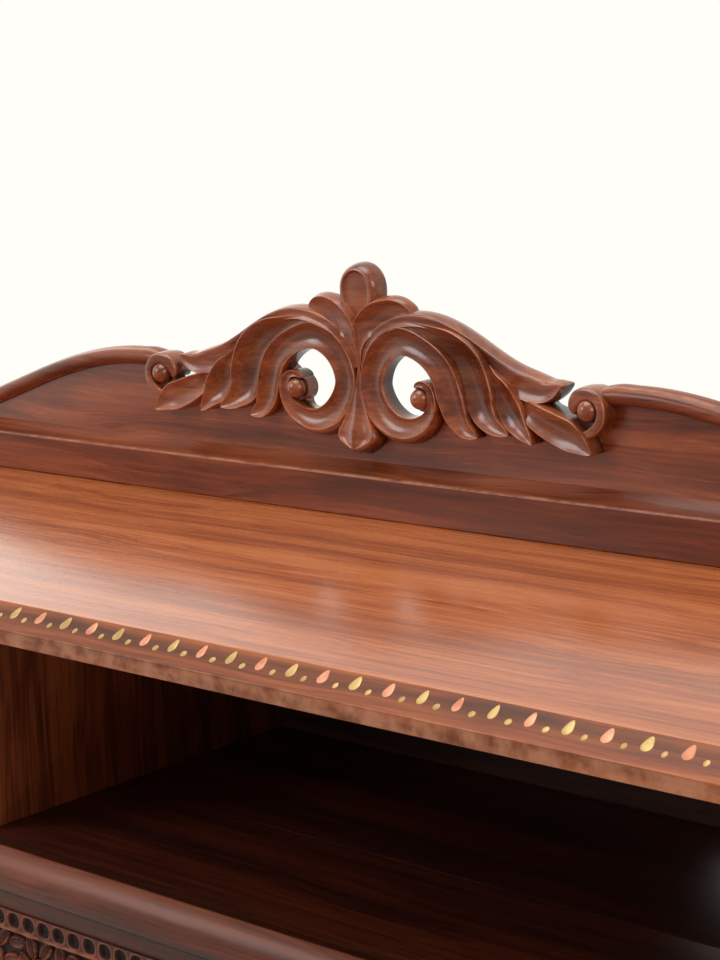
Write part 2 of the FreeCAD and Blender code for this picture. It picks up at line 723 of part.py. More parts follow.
def roll_stations():
    """Roll from the volute's curl up over the high point and out along the field's edge."""
    top = number(TOP)
    width = 2 * number("roll_radius")
    eye = Vector(number("roll_volute_offset"), 0, number("roll_volute_height"))
    curl = number("roll_volute_radius") + width / 4
    stations = []
    for turn, share in VOLUTE_CURL:
        angle = math.radians(turn)
        stations.append((eye.x + curl * math.cos(angle), eye.z + curl * math.sin(angle), width * share))
    for point in roll_line().discretize(Number=ROLL_STATIONS):
        stations.append((point.x, point.z - top, width))
    return stations


def edge_points(stations, margin, side=-1):
    """Points a margin outside a member's upper edge, or with side 1 outside its lower edge."""
    line = spine(stations)
    points = []
    for x, z, width in stations:
        tangent = line.tangent(line.parameter(Vector(x, width, z)))[0]
        across = Vector(tangent.z, 0, -tangent.x).normalize()
        points.append(Vector(x, 0, z + number(TOP)) + across * (side * (width / 2 + margin)))
    return points


def field_half():
    """Right half of the field board: up to the roll's line at the side, and in the middle a margin
    outside the petal and the top leaf, with a notch between the leaf's tip and the volute."""
    margin = number("field_margin")
    line = roll_line()
    outer = line.EndPoint
    petal = edge_points(drawn(PETAL), margin)[2:]
    leaf = edge_points(drawn(TOP_LEAF), margin)[4:]
    under = edge_points(drawn(TOP_LEAF), 2 * margin, side=1)[-2:]
    lobe = edge_points(drawn(FOURTH_LOBE), 2 * margin)[3]
    eye = Vector(number("roll_volute_offset"), 0, number(f"{TOP} + roll_volute_height"))
    foot = Vector(0, 0, number(TOP))
    crown = Vector(0, 0, petal[0].z)
    edges = []
    for points in (petal, leaf):
        curve = Part.BSplineCurve()
        curve.interpolate(points)
        edges.append(curve)
    corner = Vector(outer.x, 0, foot.z)
    notch = [leaf[-1], under[1], under[0], lobe, eye, line.StartPoint]
    steps = list(zip(notch, notch[1:]))
    steps += [(crown, petal[0]), (petal[-1], leaf[0]), (outer, corner), (corner, foot), (foot, crown)]
    edges += [Part.LineSegment(*step) for step in steps] + [line]
    wire = Part.Wire(Part.__sortEdges__([edge.toShape() for edge in edges]))
    face = Part.Face(wire)
    face.translate(Vector(0, number(FIELD), 0))
    return face.extrude(Vector(0, number("field_thickness"), 0))


def bud_outline(share, depth):
    """Spade outline of the bud at a share of its size: a round head over a pointed foot."""
    half = number("bud_half_width") * share
    middle = number(f"{TOP} + bud_height - {BUD_HEAD} * bud_half_width")
    head = Vector(0, depth, middle + BUD_HEAD * half)
    foot = Vector(0, depth, middle - BUD_FOOT * half)
    right = Vector(half, depth, middle)
    left = Vector(-half, depth, middle)
    bow = Vector(BUD_BOW[0] * half, depth, middle - BUD_BOW[1] * half)
    other = Vector(-bow.x, depth, bow.z)
    sides = [Part.Arc(right, head, left), Part.Arc(left, other, foot), Part.Arc(foot, bow, right)]
    return Part.Wire([side.toShape() for side in sides])


def bud():
    """Bud with a rounded rim and a sunk face."""
    back = number(f"{REAR} - bud_back_inset")
    face = number(f"{REAR} - bud_thickness")
    shoulder = bud_outline(1, face + number("bud_shoulder_depth"))
    brow = bud_outline(BUD_RIM, face + number("bud_rim_depth"))
    depth = number("bud_dish_depth")
    mouth = bud_outline(2 * BUD_DISH[0] - BUD_DISH[1], face - depth)
    shell = Part.makeLoft([bud_outline(1, back), shoulder], True, True)
    rim = Part.makeLoft([shoulder, brow, bud_outline(BUD_FACE, face)], True, False)
    dish = Part.makeLoft([mouth, bud_outline(BUD_DISH[1], face + depth)], True, True)
    return shell.fuse(rim).cut(dish)


def pierced_hole():
    """Tool for the hole inside a scroll, which leaves the volute and its eye standing."""
    along = Vector(0, 1, 0)
    depth = number("2 * gallery_thickness")
    hole = Vector(number("scroll_hole_offset"), number(GALLERY_FACE), number(f"{TOP} + scroll_hole_height"))
    eye = Vector(number("scroll_ball_offset"), number(GALLERY_FACE), number(f"{TOP} + scroll_ball_height"))
    volute = Part.makeCylinder(number("scroll_ball_radius + scroll_curl_width"), depth, eye, along)
    return Part.makeCylinder(number("scroll_hole_radius"), depth, hole, along).cut(volute)


def moulding_space():
    """Space in front of the field that the base moulding fills on the right half."""
    corner = Vector(0, number(GALLERY_FACE), number(TOP))
    depth = number(f"{FIELD} - {GALLERY_FACE}")
    return Part.makeBox(number(HALF), depth, number("base_moulding_height + cove_height"), corner)


def carved_half():
    """Right half of the carved gallery: the field, the scrolls and leaves standing out of it,
    the roll along its edge, which ends on the base moulding, and the pierced hole."""
    relief = number("carving_relief")
    rear = number(REAR)
    half = field_half()
    inset = number("carving_back_step")
    for order, stations in enumerate(CARVED_MEMBERS, start=2):
        half = half.fuse(member(drawn(stations), rear - order * inset, relief))
    roll = member(roll_stations(), rear - inset, number("roll_relief"), step=ROLL_STEP)
    half = half.fuse(roll.cut(moulding_space()))
    half = half.cut(pierced_hole())
    half = half.fuse(ball("scroll_ball_offset", "scroll_ball_height", "scroll_ball_radius"))
    return half.fuse(ball("roll_volute_offset", "roll_volute_height", "roll_volute_radius"))


def make_gallery():
    """Carved and pierced gallery plank, and the cove moulding in front of its foot."""
    right = carved_half()
    left = right.mirror(Vector(), Vector(1, 0, 0))
    whole = right.fuse(left)
    whole = whole.fuse(member(drawn(DROP), number(f"{REAR} - drop_back_inset"), number("carving_relief")))
    plank = doc.addObject("Part::Feature", "gallery_plank")
    plank.Shape = whole.fuse(bud())
    keep(plank, "gallery_plank")
    depth = "(gallery_thickness - field_thickness)"
    tall = "(base_moulding_height + cove_height)"
    corners = (
        ("0", "0"), (depth, "0"), (depth, tall), (f"{depth} - cove_edge", tall, f"{depth} - cove_edge", -1),
        ("0", "base_moulding_height"),
    )
    moulding = padded("gallery_base_body", "YZ_Plane", corners, f"2 * ({HALF} - gallery_side_setback)")
    place(moulding, "0", GALLERY_FACE, TOP)
    keep(moulding, "gallery_base_moulding")


def check_and_write():
    """Refuse a document with a failed object or an unsound sub-part, then write each sub-part."""
    doc.recompute()
    for thing in doc.Objects:
        if "Invalid" in thing.State or "Error" in thing.State:
            raise RuntimeError(f"{thing.Name} failed: {thing.State}")
    for node in nodes:
        if node.Shape.isNull() or not node.Shape.isValid():
            raise RuntimeError(f"{node.Label} has no sound shape")
    os.makedirs("parts", exist_ok=True)
    for node in nodes:
        node.Shape.exportStep(f"parts/{node.Label}.step")
        print(node.Label, len(node.Shape.Solids), round(node.Shape.Volume))


make_top()
make_frame()
make_open_shelf()
make_drawer_bank()
make_gallery()
check_and_write()
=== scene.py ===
import bmesh
import bpy
import numpy as np
from mathutils import Matrix, Vector


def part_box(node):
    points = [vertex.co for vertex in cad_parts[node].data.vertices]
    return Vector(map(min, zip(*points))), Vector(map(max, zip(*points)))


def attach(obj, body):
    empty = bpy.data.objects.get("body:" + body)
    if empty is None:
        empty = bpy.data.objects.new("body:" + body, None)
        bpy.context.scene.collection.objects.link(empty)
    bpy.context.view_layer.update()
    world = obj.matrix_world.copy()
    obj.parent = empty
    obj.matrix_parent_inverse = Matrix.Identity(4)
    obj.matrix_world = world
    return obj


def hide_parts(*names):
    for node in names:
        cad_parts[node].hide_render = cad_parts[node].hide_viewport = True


# Carved television cabinet. Lengths are in millimetres in the cabinet's own frame, unless a name says
# otherwise, and become metres where a mesh is written.

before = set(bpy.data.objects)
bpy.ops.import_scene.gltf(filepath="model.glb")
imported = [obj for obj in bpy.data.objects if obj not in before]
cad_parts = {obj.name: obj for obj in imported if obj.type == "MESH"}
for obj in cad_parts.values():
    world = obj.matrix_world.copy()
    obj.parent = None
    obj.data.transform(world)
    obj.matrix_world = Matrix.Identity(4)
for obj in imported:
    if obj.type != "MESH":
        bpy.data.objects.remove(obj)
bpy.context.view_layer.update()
MM = 0.001
MERGE_M = 2e-6
SLIVER_M = 1e-6
SIDES = (("left", -1), ("right", 1))
DRAWERS = ("left", "centre", "right")


def node_box(name):
    """Lowest and highest corner of a node, in millimetres."""
    low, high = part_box(name)
    return np.array(low) / MM, np.array(high) / MM


# Planes taken from the frame.
TOP_Z = node_box("top_panel")[1][2]
BACK_Y = node_box("gallery_plank")[1][1]
FIELD_Y = node_box("gallery_base_moulding")[1][1]
GALLERY_END = node_box("gallery_base_moulding")[1][0]

# Camera of the photograph: place, turns in degrees, focal length and picture height in pixels.
CAMERA_SPOT_M = (1.49311, -1.40737, 1.05905)
CAMERA_YAW = 42.685
CAMERA_PITCH = 10.847
CAMERA_ROLL = -2.654
FOCAL_PIXELS = 2269.06
IMAGE_HEIGHT = 960

# Carving of the gallery's right half. A station of a carved line is the distance from the middle, the
# height over the top, the width there, the height of its rims in front of the field, how far the rim on its
# inner side falls below the other one, and how far the foot of its outer side spreads; the last two are
# left out where they are 0.
SCROLL = (
    (74.5, 134, 3, 14), (79, 137, 5, 15), (86, 138, 7, 17, 1), (94, 134, 9, 17, 2),
    (97.5, 122, 11, 17, 2, 1), (92, 107, 14, 17, 3, 3), (79, 97.5, 17, 17, 4, 6),
    (57, 93.5, 21, 16.5, 4, 8), (31, 105, 27, 15, 3, 6), (17.5, 131, 28, 12.5, 2), (26, 158, 28, 12.5, 2),
    (54, 177.5, 28, 14, 2), (86.5, 170, 26, 15, 1), (110.5, 150.5, 29, 15.5), (120, 127, 31, 15.5),
    (126, 110, 27, 14.5), (134, 99, 19, 14), (151, 91, 5, 13.5),
)
SECOND_LOBE = (
    (60, 196, 4, 13), (90.6, 187.2, 18, 15, 3), (120.5, 173.5, 36, 16.5, 7), (142, 156.5, 41, 17, 8),
    (151.5, 135.5, 41, 17.5, 8), (158, 118, 35, 17, 6), (169, 107, 22, 17, 1), (191, 97, 5, 17),
)
THIRD_LOBE = (
    (165, 160, 4, 11), (172, 149, 14, 15, 2), (180, 138, 26, 17.5, 5), (188, 126, 31, 18.5, 7),
    (196.5, 114, 30, 19, 5), (206, 104, 19, 19, 1), (219, 91, 5, 18.5),
)
FOURTH_LOBE = (
    (198, 134, 4, 9), (207, 127, 13, 13.5, 1), (218, 120, 22, 18, 1), (232, 113.5, 27, 20, 2),
    (247, 107.5, 29, 20, 2), (260, 103, 29, 20, 1), (270, 98.5, 23, 20), (279, 93, 14, 20),
    (288, 87.5, 5, 20),
)
TOP_LEAF = (
    (4, 148, 3, 9), (14, 171, 8, 11), (29, 185, 10, 13), (50, 194.5, 12, 14), (73, 199, 12, 14.5),
    (95, 197.5, 12, 15, 2), (117, 191.5, 11, 14, 4), (139, 181.5, 11, 13, 6), (162, 167.5, 14, 13, 7),
    (186, 152.5, 21, 14.5, 6), (210, 143, 25, 15, 1), (232, 140.5, 19, 14.5), (251, 147, 6, 14),
)
PETAL = (
    (1, 148, 3, 8), (3, 167, 8, 12, 1), (9, 184.5, 22, 16, 4), (20, 196, 26, 16, 7), (36, 205, 24, 14, 7),
    (51, 208.5, 17, 11, 4), (62, 206.5, 9, 8, 1), (67, 204.5, 4, 6),
)
DROP = (
    (0, 165, 3, 8), (0, 140, 5, 10), (0, 122, 13, 12.5), (0, 106, 25, 14.5), (0, 94, 36, 16.5, 0, 1),
    (0, 85, 45, 18.5, 0, 3), (0, 79, 43, 19.5, 0, 5), (0, 73.5, 28, 21, 0, 6), (0, 68.5, 8, 22, 0, 7),
)
VOLUTE_CURL = (
    (265, 103, 4, 15), (275, 104, 7, 16), (286.5, 108.5, 9, 17), (295, 117, 10, 17), (297, 129, 10, 17),
    (291.5, 138.5, 11, 16), (281, 142, 12, 15), (270.5, 138.5, 14, 14), (265, 130.5, 13, 13),
    (264.5, 122, 8, 12),
)
# Roll along the board's edge: its high point beside the volute, its height at the gallery's end, its width,
# its relief, and the stations that lead to it over the volute.
ROLL_APEX = (325, 140.5)
ROLL_END_HEIGHT = 50
ROLL_WIDTH = 17
ROLL_RELIEF = 3
ROLL_LEAD = ((279, 134, 8, 5), (288, 138, 13, 4), (304, 140.3, ROLL_WIDTH, ROLL_RELIEF))
# Section of a carved line: points across it, round of a rim's corner, share of the half width inside the
# rims, steps down a side, powers of the inner rim's fall, of the ridge and of the spreading foot, and the
# length of the end over which the foot also spreads ahead.
SECTION_POINTS = 37
RIM_ROUND = 0.9
RIM_SHARE = 0.93
SIDE_STEPS = np.array((0.06, 0.16, 0.3, 0.46, 0.62, 0.8, 1.0))
FALL_POWER = 1.3
RIDGE_POWER = 1.5
SPREAD_POWER = 0.4
SPREAD_END = 14
# Widths from which a carved line bows and wears in full, and the place and reach of the wear on a rim.
BOWED_WIDTH = 10
WORN_WIDTH = 8
WORN_PLACE = 0.6 * RIM_ROUND
WORN_REACH = 0.6
# Painted shade of a carved line: height over the field from which its sides darken, the power of that, and
# the shade for each millimetre of hollow and of fall.
SHADE_RISE = 11
SHADE_POWER = 0.7
HOLLOW_SHADE = 0.05
FALL_SHADE = 1 / 48
# Round eyes: place, radius, how far the ball's middle stands before the field, how far the seat is wider.
SCROLL_EYE = ((82, 123.5), 10.5, 12, 2.6)
VOLUTE_EYE = ((281, 126.5), 11, 11.5, 7)
# Seat of an eye: chamfer of its edge, groove round the ball, how far its edge and its face lie behind the
# ball's middle, its back before the board's back, and the painted shade of its rings, darkest in the groove.
SEAT_CHAMFER = 1
SEAT_GROOVE = 1.2
SEAT_EDGE = 3.5
SEAT_FACE = 2.5
SEAT_BACK = 7
SEAT_SHADES = (0.2, 0.2, 0.25, 0.9)
# Ball of an eye: angle at which it leaves the seat, its painted shade, and the sine under which it sets in.
BALL_START = -0.25
BALL_SHADE = 0.7
BALL_SHADE_SINE = 0.6
# Upper edge of the board behind the carving, kept inside the carved members, from the middle outwards.
BOARD_EDGE = (
    (0, 190), (12, 193), (25, 200), (42, 203), (57, 202), (66, 199), (75, 196), (97, 191), (119, 183),
    (141, 171), (165, 156), (188, 144), (210, 136), (226, 131), (238, 122), (252, 115), (264, 113),
    (281, 130), (299, 138), (325, 140),
)
# Edge of the board's opening behind a pierced scroll, and the point from which bearings are taken.
BOARD_HOLE = (
    (62, 173), (82, 169), (97, 160), (104, 147), (99, 140), (88, 133), (82, 122), (82, 107), (60, 96),
    (37, 101), (23, 119), (21, 138), (28, 156), (44, 169),
)
HOLE_CENTRE = (62, 136)
# Half width of the board's middle part; points up its side, along its edge and its foot, and of a wing.
CENTRE_WIDTH = 128
UPRIGHT_POINTS = 13
EDGE_POINTS = 60
FOOT_POINTS = 24
WING_POINTS = 40
# Bud: height of its widest line over the top, its outline, the outline of its face (half width, head and
# foot), and the depths of its side and rim before the back.
BUD_MIDDLE = 225.6
BUD_HALF_WIDTH = 25.5
BUD_HEAD = 25.4
BUD_FOOT = 46
BUD_FACE = (18.3, 18.8, 40)
BUD_SIDE_DEPTH = 5
BUD_RIM_DEPTH = 21.5
# Power of the long curve, angle to which the side swings in, and the wear of the bud's rim and its reach.
BUD_FOOT_POWER = 0.75
BUD_SWING = 1.5
BUD_WORN = 0.8
BUD_WORN_REACH = 0.7
# Rings behind the bud's widest line: share of the outline, depth before the back.
BUD_BACK_RINGS = ((0.94, 1), (0.985, 2), (1.0, 3.5))
# Rings of the bud's face from its rim to its middle: share of the face's outline, depth under the rim.
BUD_FACE_RINGS = (
    (0.985, 0.0), (0.96, 0.5), (0.93, 1.7), (0.88, 2.5), (0.7, 2.8), (0.4, 2.4), (0.15, 2.2), (0.02, 2.2),
)
# Base moulding: height and power of its hollow slope, gap under it, rounds of its corners, depth at which
# the rounded edge passes into the slope, depth of its worn face, place, reach and amount of the wear.
COVE_HEIGHT = 12
COVE_POWER = 1.5
BAND_LIFT = 0.5
BAND_ROUNDS = (0.3, 1.2, 2.6, 0.3)
BAND_TURN = 2.4
BAND_FACE = 3
BAND_WORN_DROP = 0.6
BAND_WORN_REACH = 1
BAND_FOOT_WORN = 0.6
# Bevelled front edge: depth and height of its slope, rounds of its corners and of the boards behind it.
BEVEL_RUN = 26
BEVEL_FALL = 16
BEVEL_ROUNDS = (0.3, 1.4, 0.7, 0.3)
TOP_ROUND = 0.3
STRIP_ROUND = 0.4
# Wear of the arris, its reach, painted sheen that lightens the band under it; limits, middle and reach of
# the dark stain, as shares of the slope.
ARRIS_WORN = 0.7
ARRIS_REACH = 0.9
LIP_SHEEN = 0.9
STAIN_LIMITS = (0.05, 0.97)
STAIN_MIDDLE = 0.66
STAIN_REACH = 0.3
# Inlay: pitch, place of the teardrop next to the middle, margin at the ends, lift of the plates, how uneven
# their width is and how fast that changes along the edge.
INLAY_PITCH = 32.85
INLAY_PHASE = -9.2
INLAY_MARGIN = 14
INLAY_LIFT = 0.5
INLAY_UNEVEN = 0.1
INLAY_WAVE = 1.7
# Rings of a plate: share of its outline, share of its lift.
INLAY_RINGS = ((1.0, -2.0), (1.0, 0.0), (0.9, 0.45), (0.7, 0.75), (0.4, 0.95), (0.05, 1.0))
# Teardrop's width and length, its taper, and the places of teardrop and dot from the bevel's middle.
TEARDROP = (9.5, 14)
TEARDROP_TAPER = 0.25
TEARDROP_RISE = 5.3
DOT_RADIUS = 3
DOT_FALL = 0.6
# Rounded edge of the shelf: angle at which the ellipse starts, its depth and height, round of the foot,
# width over which the level strip at the shelf turns dark with painted shade, and height and reach of the
# painted shade at the foot.
NOSING_START = 0.7
NOSING_DEPTH = 16
NOSING_RISE = 28
NOSING_FOOT = 9
NOSING_LEVEL_SHADE_RAMP = 0.4
NOSING_SHADE = (12, 9)
# Carving of the drawers: grid step, pitch of the border's pits, their middle from the panel's edge, their
# half sizes along and across the border, power, depth and worn edge; drop of the border; place, half width
# and limits of the bead; edge and depth of the ground, and the depth at which its painted shade is full.
PANEL_STEP = 1.0
PIT_PITCH = 21
PIT_MIDDLE = 9.5
PIT_HALF = (8.2, 7.4)
PIT_POWER = 2.6
PIT_DEPTH = 3.8
PIT_RIM = (1.08, 0.09)
PIT_WORN = 0.9
BORDER_DROP = 0.5
BEAD_PLACE = 19.5
BEAD_HALF = 1.7
BEAD_LIMITS = (18, 21)
FIELD_EDGE = (20.5, 22.5)
GROUND_DEPTH = 4.0
FULL_SHADE_DEPTH = 3.2
# Vine: length of one scroll, radius of its ring, half width and height of its stem.
VINE_LENGTH = 58
VINE_RADIUS = 0.36 * VINE_LENGTH
VINE_HALF = 2.0
VINE_HEIGHT = 0.85
# Leaves of the drawers: half length and half width, rows, spacing, start, margins at the ends and above, and
# the swing of the heading: degrees, length of its wave, turn from row to row, lean to either side.
LEAF_SIZE = (12.5, 6.2)
LEAF_ROWS = 5
LEAF_PITCH = 20
LEAF_START = 12
LEAF_MARGIN = 26
ROW_MARGIN = 30
LEAF_SWING = 90
SWING_LENGTH = 19
ROW_TURN = 1.3
ROW_LEAN = 35
# Shape of one leaf: power of its outline, bend of the midrib and its wave, height of the hollow blade, half
# width of the midrib, place and reach of the worn rim.
LEAF_POWER = 0.7
LEAF_BEND = 0.12
BEND_WAVE = 2.5
BLADE_HEIGHT = 0.45
MIDRIB_HALF = 0.14
LEAF_RIM = (0.86, 0.09)
# Rosette round a knob: radius of its seat and of its hollows, length of its petals, their number on a half
# turn, and the cleared ground round it.
ROSETTE_SEAT = 17
ROSETTE_RADIUS = 22
ROSETTE_PETAL = 8
ROSETTE_FOLDS = 4
ROSETTE_CLEAR = (29, 33)
# Rounds of the carcass boards and of the two close-set shelf boards.
BOARD_ROUND = 1.2
SHELF_ROUND = 0.3
# Studio: lamps as name, place and disc size in metres, and watts; strengths of the surroundings for plain
# light, for reflections, and what reflections gain behind and to the left of the cabinet.
LAMPS = (
    ("overhead", (-0.2, -0.3, 3.2), 2.2, 52), ("front_left", (-2.0, -2.4, 2.2), 1.6, 36),
    ("right", (2.9, -0.8, 1.9), 1.4, 26),
)
LAMP_AIM_M = (0, 0, 0.6)
PLAIN_LEVEL = 0.3
REFLECTED_LEVEL = 0.4
BEHIND_GAIN = 0.6
LEFT_GAIN = 0.8
# Floor: radius, hole that a single face closes, points outwards and around, shares where it fades out.
FLOOR_RADIUS_M = 3.2
FLOOR_HUB_M = 0.02
FLOOR_RINGS = 24
FLOOR_COLUMNS = 96
FLOOR_FADE = (0.45, 0.98)


# Meshes

def quads(rows, columns, wrap_columns=False):
    """Corner indices of the quads of a grid; wrapped columns close on themselves."""
    row = np.arange(rows - 1)
    column = np.arange(columns - (not wrap_columns))
    first, second = np.meshgrid(row, column, indexing="ij")
    next_row = first + 1
    next_column = (second + 1) % columns
    corners = (
        first * columns + second, first * columns + next_column,
        next_row * columns + next_column, next_row * columns + second,
    )
    return np.stack(corners, -1).reshape(-1, 4)


def shell(points, faces, fans=None, rim=0.0, shade=0.0):
    """Part of a mesh: points, quads, triangles, and how worn and how shaded each point is."""
    count = len(points)
    triangles = np.empty((0, 3), int) if fans is None else fans
    return points, faces, triangles, np.broadcast_to(rim, count), np.broadcast_to(shade, count)


def capped(rings, rim=0.0, shade=0.0):
    """Closed body through rings of points (rows, columns, 3): quads between the rings, and at each end
    a fan to the ring's middle."""
    rows, columns = rings.shape[:2]
    points = np.concatenate([rings.reshape(-1, 3), rings[[0, -1]].mean(1)])
    around = np.arange(columns)
    ahead = np.roll(around, -1)
    last = (rows - 1) * columns
    hub = np.full(columns, rows * columns)
    fans = np.concatenate([
        np.stack([hub, ahead, around], 1), np.stack([hub + 1, last + around, last + ahead], 1),
    ])
    spread = [np.append(np.broadcast_to(value, (rows, columns)).ravel(), (0, 0)) for value in (rim, shade)]
    return shell(points, quads(rows, columns, wrap_columns=True), fans, *spread)


def mirrored(part):
    """The same part on the other side of the middle plane."""
    return (part[0] * (-1, 1, 1), *part[1:])


def add_object(name, data):
    """Object with the given data, linked to the scene."""
    made = bpy.data.objects.new(name, data)
    bpy.context.scene.collection.objects.link(made)
    return made


def make_piece(name, parts, material, body="cabinet", stands_for=(), sharp=38):
    """One object from several parts, with merged seams, outward faces and edges over the sharp angle kept
    crisp; it moves with its body and takes the place of the named nodes."""
    starts = np.cumsum([0] + [len(part[0]) for part in parts])
    points = np.concatenate([part[0] for part in parts]) * MM
    faces = np.concatenate([part[1] + start for part, start in zip(parts, starts)]).tolist()
    faces += np.concatenate([part[2] + start for part, start in zip(parts, starts)]).tolist()
    mesh = bpy.data.meshes.new(name)
    mesh.from_pydata(points, [], faces)
    for attribute, column in (("rim", 3), ("shade", 4)):
        values = np.concatenate([part[column] for part in parts]).astype(np.float32)
        mesh.attributes.new(attribute, "FLOAT", "POINT").data.foreach_set("value", values)
    work = bmesh.new()
    work.from_mesh(mesh)
    bmesh.ops.remove_doubles(work, verts=work.verts, dist=MERGE_M)
    bmesh.ops.dissolve_degenerate(work, edges=work.edges, dist=SLIVER_M)
    bmesh.ops.recalc_face_normals(work, faces=work.faces)
    work.to_mesh(mesh)
    work.free()
    mesh.shade_smooth()
    mesh.set_sharp_from_angle(angle=np.radians(sharp))
    mesh.materials.append(material)
    piece = add_object(name, mesh)
    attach(piece, body)
    if stands_for:
        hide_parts(*stands_for)


# Lines and sections

def smooth_line(stations, count):
    """Points spaced evenly along a cubic curve through the stations: between two stations each column
    follows the Hermite polynomial of its values and of its slopes over the chord length."""
    values = np.asarray(stations, float)
    chord = np.append(0, np.cumsum(np.linalg.norm(np.diff(values[:, :2], axis=0), axis=1)))
    slope = np.gradient(values, chord, axis=0)
    place = np.linspace(0, chord[-1], count)
    index = np.clip(np.searchsorted(chord, place, side="right") - 1, 0, len(chord) - 2)
    step = (chord[index + 1] - chord[index])[:, None]
    t = (place[:, None] - chord[index][:, None]) / step
    start = (1 + 2 * t) * (1 - t) ** 2 * values[index] + t * (1 - t) ** 2 * step * slope[index]
    return start + t * t * (3 - 2 * t) * values[index + 1] + t * t * (t - 1) * step * slope[index + 1]


def round_end(distance, reach):
    """Share of the width near an end: a quarter ellipse that grows from 0 to 1 over the reach."""
    if reach == 0:
        return np.ones_like(distance)
    return np.sqrt(1 - (1 - np.clip(distance / reach, 0, 1)) ** 2)


def smooth(value, low, high):
    """Smooth step: 3 t^2 - 2 t^3 with t from 0 at low to 1 at high."""
    t = np.clip((value - low) / (high - low), 0, 1)
    return t * t * (3 - 2 * t)


def hump(value, middle, reach):
    """Bell curve: exp(-((value - middle) / reach)^2)."""
    return np.exp(-((value - middle) / reach) ** 2)


def carved_band(stations, hollow=0.15, crown=0.0, ridge=0.0, ends=(0, 14), back=1.0, bulge=1.0, soft=0.0,
                lit=0, both=False, count=150):
    """Carved member: a section carried along a line, its width rounded off over the lengths in ends and its
    back set before the board's back. Across the section u runs from -1 to 1. The face stands at the rims'
    height, less the inner rim's fall * ((1 + u) / 2)^1.3, less a hollow of
    width * hollow * (1 - (u / rim)^2) between the rims, plus a crown of width * crown * sqrt(1 - u^2) and
    a ridge of width * ridge * (1 - |u|)^1.5; the corner of each rim is a quarter round, wider by soft on the
    outer side. The sides bow outwards by 4 * bulge * f * (1 - f) down to the back, where the outer side, or
    both sides and the end, spread by spread * f^0.4; the side named by the sign of lit carries no shade."""
    line = smooth_line([(*station, 0, 0)[:6] for station in stations], count)
    centre = line[:, :2]
    travel = np.append(0, np.cumsum(np.linalg.norm(np.diff(centre, axis=0), axis=1)))
    width = line[:, 2] * round_end(travel, ends[0]) * round_end(travel[-1] - travel, ends[1])
    tangent = np.gradient(centre, axis=0)
    tangent /= np.linalg.norm(tangent, axis=1)[:, None]
    across = np.stack([tangent[:, 1], -tangent[:, 0]], 1)
    u = np.sin(np.linspace(-np.pi / 2, np.pi / 2, SECTION_POINTS))
    wide = width[:, None]
    inset = (1 - np.abs(u)) * wide / 2
    radius = np.minimum(RIM_ROUND + soft * (u < 0), np.maximum(wide / 3, RIM_ROUND))
    corner = radius - np.sqrt(radius ** 2 - np.clip(radius - inset, 0, radius) ** 2)
    fall = line[:, 4:5] * ((1 + u) / 2) ** FALL_POWER
    dip = wide * hollow * np.clip(1 - (u / RIM_SHARE) ** 2, 0, None)
    swelling = wide * crown * np.sqrt(1 - u * u) + wide * ridge * (1 - np.abs(u)) ** RIDGE_POWER
    front_y = FIELD_Y - (line[:, 3:4] - corner - fall - dip + swelling)
    rear_y = BACK_Y - back
    inner_y = front_y[:, -1:] + (rear_y - front_y[:, -1:]) * SIDE_STEPS
    outer_y = (front_y[:, :1] + (rear_y - front_y[:, :1]) * SIDE_STEPS)[:, ::-1]
    bow = 4 * bulge * SIDE_STEPS * (1 - SIDE_STEPS) * np.minimum(1, wide / BOWED_WIDTH)
    spread = line[:, 5:6] * SIDE_STEPS ** SPREAD_POWER
    inner_spread = spread * both
    inner_side = wide / 2 + bow + inner_spread
    outer_side = -wide / 2 - (bow + spread)[:, ::-1]
    offset = np.concatenate([u * wide / 2, inner_side, outer_side], 1)
    ahead = np.concatenate([np.zeros_like(front_y), inner_spread, inner_spread[:, ::-1]], 1)
    near_end = np.clip(1 - (travel[-1] - travel) / SPREAD_END, 0, 1)[:, None, None]
    plan = centre[:, None, :] + across[:, None, :] * offset[:, :, None]
    plan = plan + tangent[:, None, :] * ahead[:, :, None] * near_end
    depth = np.concatenate([front_y, inner_y, outer_y], 1)
    rings = np.stack([plan[:, :, 0], depth, plan[:, :, 1] + TOP_Z], -1)
    marked = np.clip(wide / WORN_WIDTH, 0, 1) * ((u > 0) | (soft == 0))
    worn = hump(inset, WORN_PLACE, WORN_REACH) * marked
    rim = np.concatenate([worn, np.zeros((count, 2 * len(SIDE_STEPS)))], 1)
    # Painted shade: a side darkens towards the field unless lit names it, and the face darkens in its hollow
    # and where the inner rim falls.
    inner_shade, outer_shade = (
        np.clip((side_y - FIELD_Y) / SHADE_RISE + 1, 0, 1) ** SHADE_POWER for side_y in (inner_y, outer_y)
    )
    face_shade = np.clip(HOLLOW_SHADE * dip + FALL_SHADE * fall, 0, 1)
    shade = np.concatenate([face_shade, inner_shade * (lit != 1), outer_shade * (lit != -1)], 1)
    return capped(rings, rim, shade)


def eye_ball(eye, radius, middle, seat):
    """Round eye of a volute, turned about the eye's axis: rings from the back of a round seat over its edge
    and the groove to the crown of a ball, whose points are radius * (cos t, sin t) about its middle."""
    angle = np.linspace(0, 2 * np.pi, 48, endpoint=False)
    rise = np.linspace(BALL_START, np.pi / 2, 18)
    seat_wide = radius + np.array((seat, seat, seat - SEAT_CHAMFER, SEAT_GROOVE))
    wide = np.append(seat_wide, radius * np.cos(rise))[:, None]
    seat_front = (FIELD_Y - BACK_Y + SEAT_BACK, middle - SEAT_EDGE, middle - SEAT_FACE, middle - SEAT_FACE)
    front = np.append(seat_front, middle + radius * np.sin(rise))[:, None]
    x = eye[0] + wide * np.cos(angle)
    z = eye[1] + TOP_Z + wide * np.sin(angle)
    # Painted shade: the seat is darkest in the groove round the ball, and the ball darkens towards the seat.
    shade = np.append(SEAT_SHADES, BALL_SHADE * np.clip(BALL_SHADE_SINE - np.sin(rise), 0, 1))[:, None]
    return capped(np.stack([x, np.broadcast_to(FIELD_Y - front, x.shape), z], -1), 0, shade)


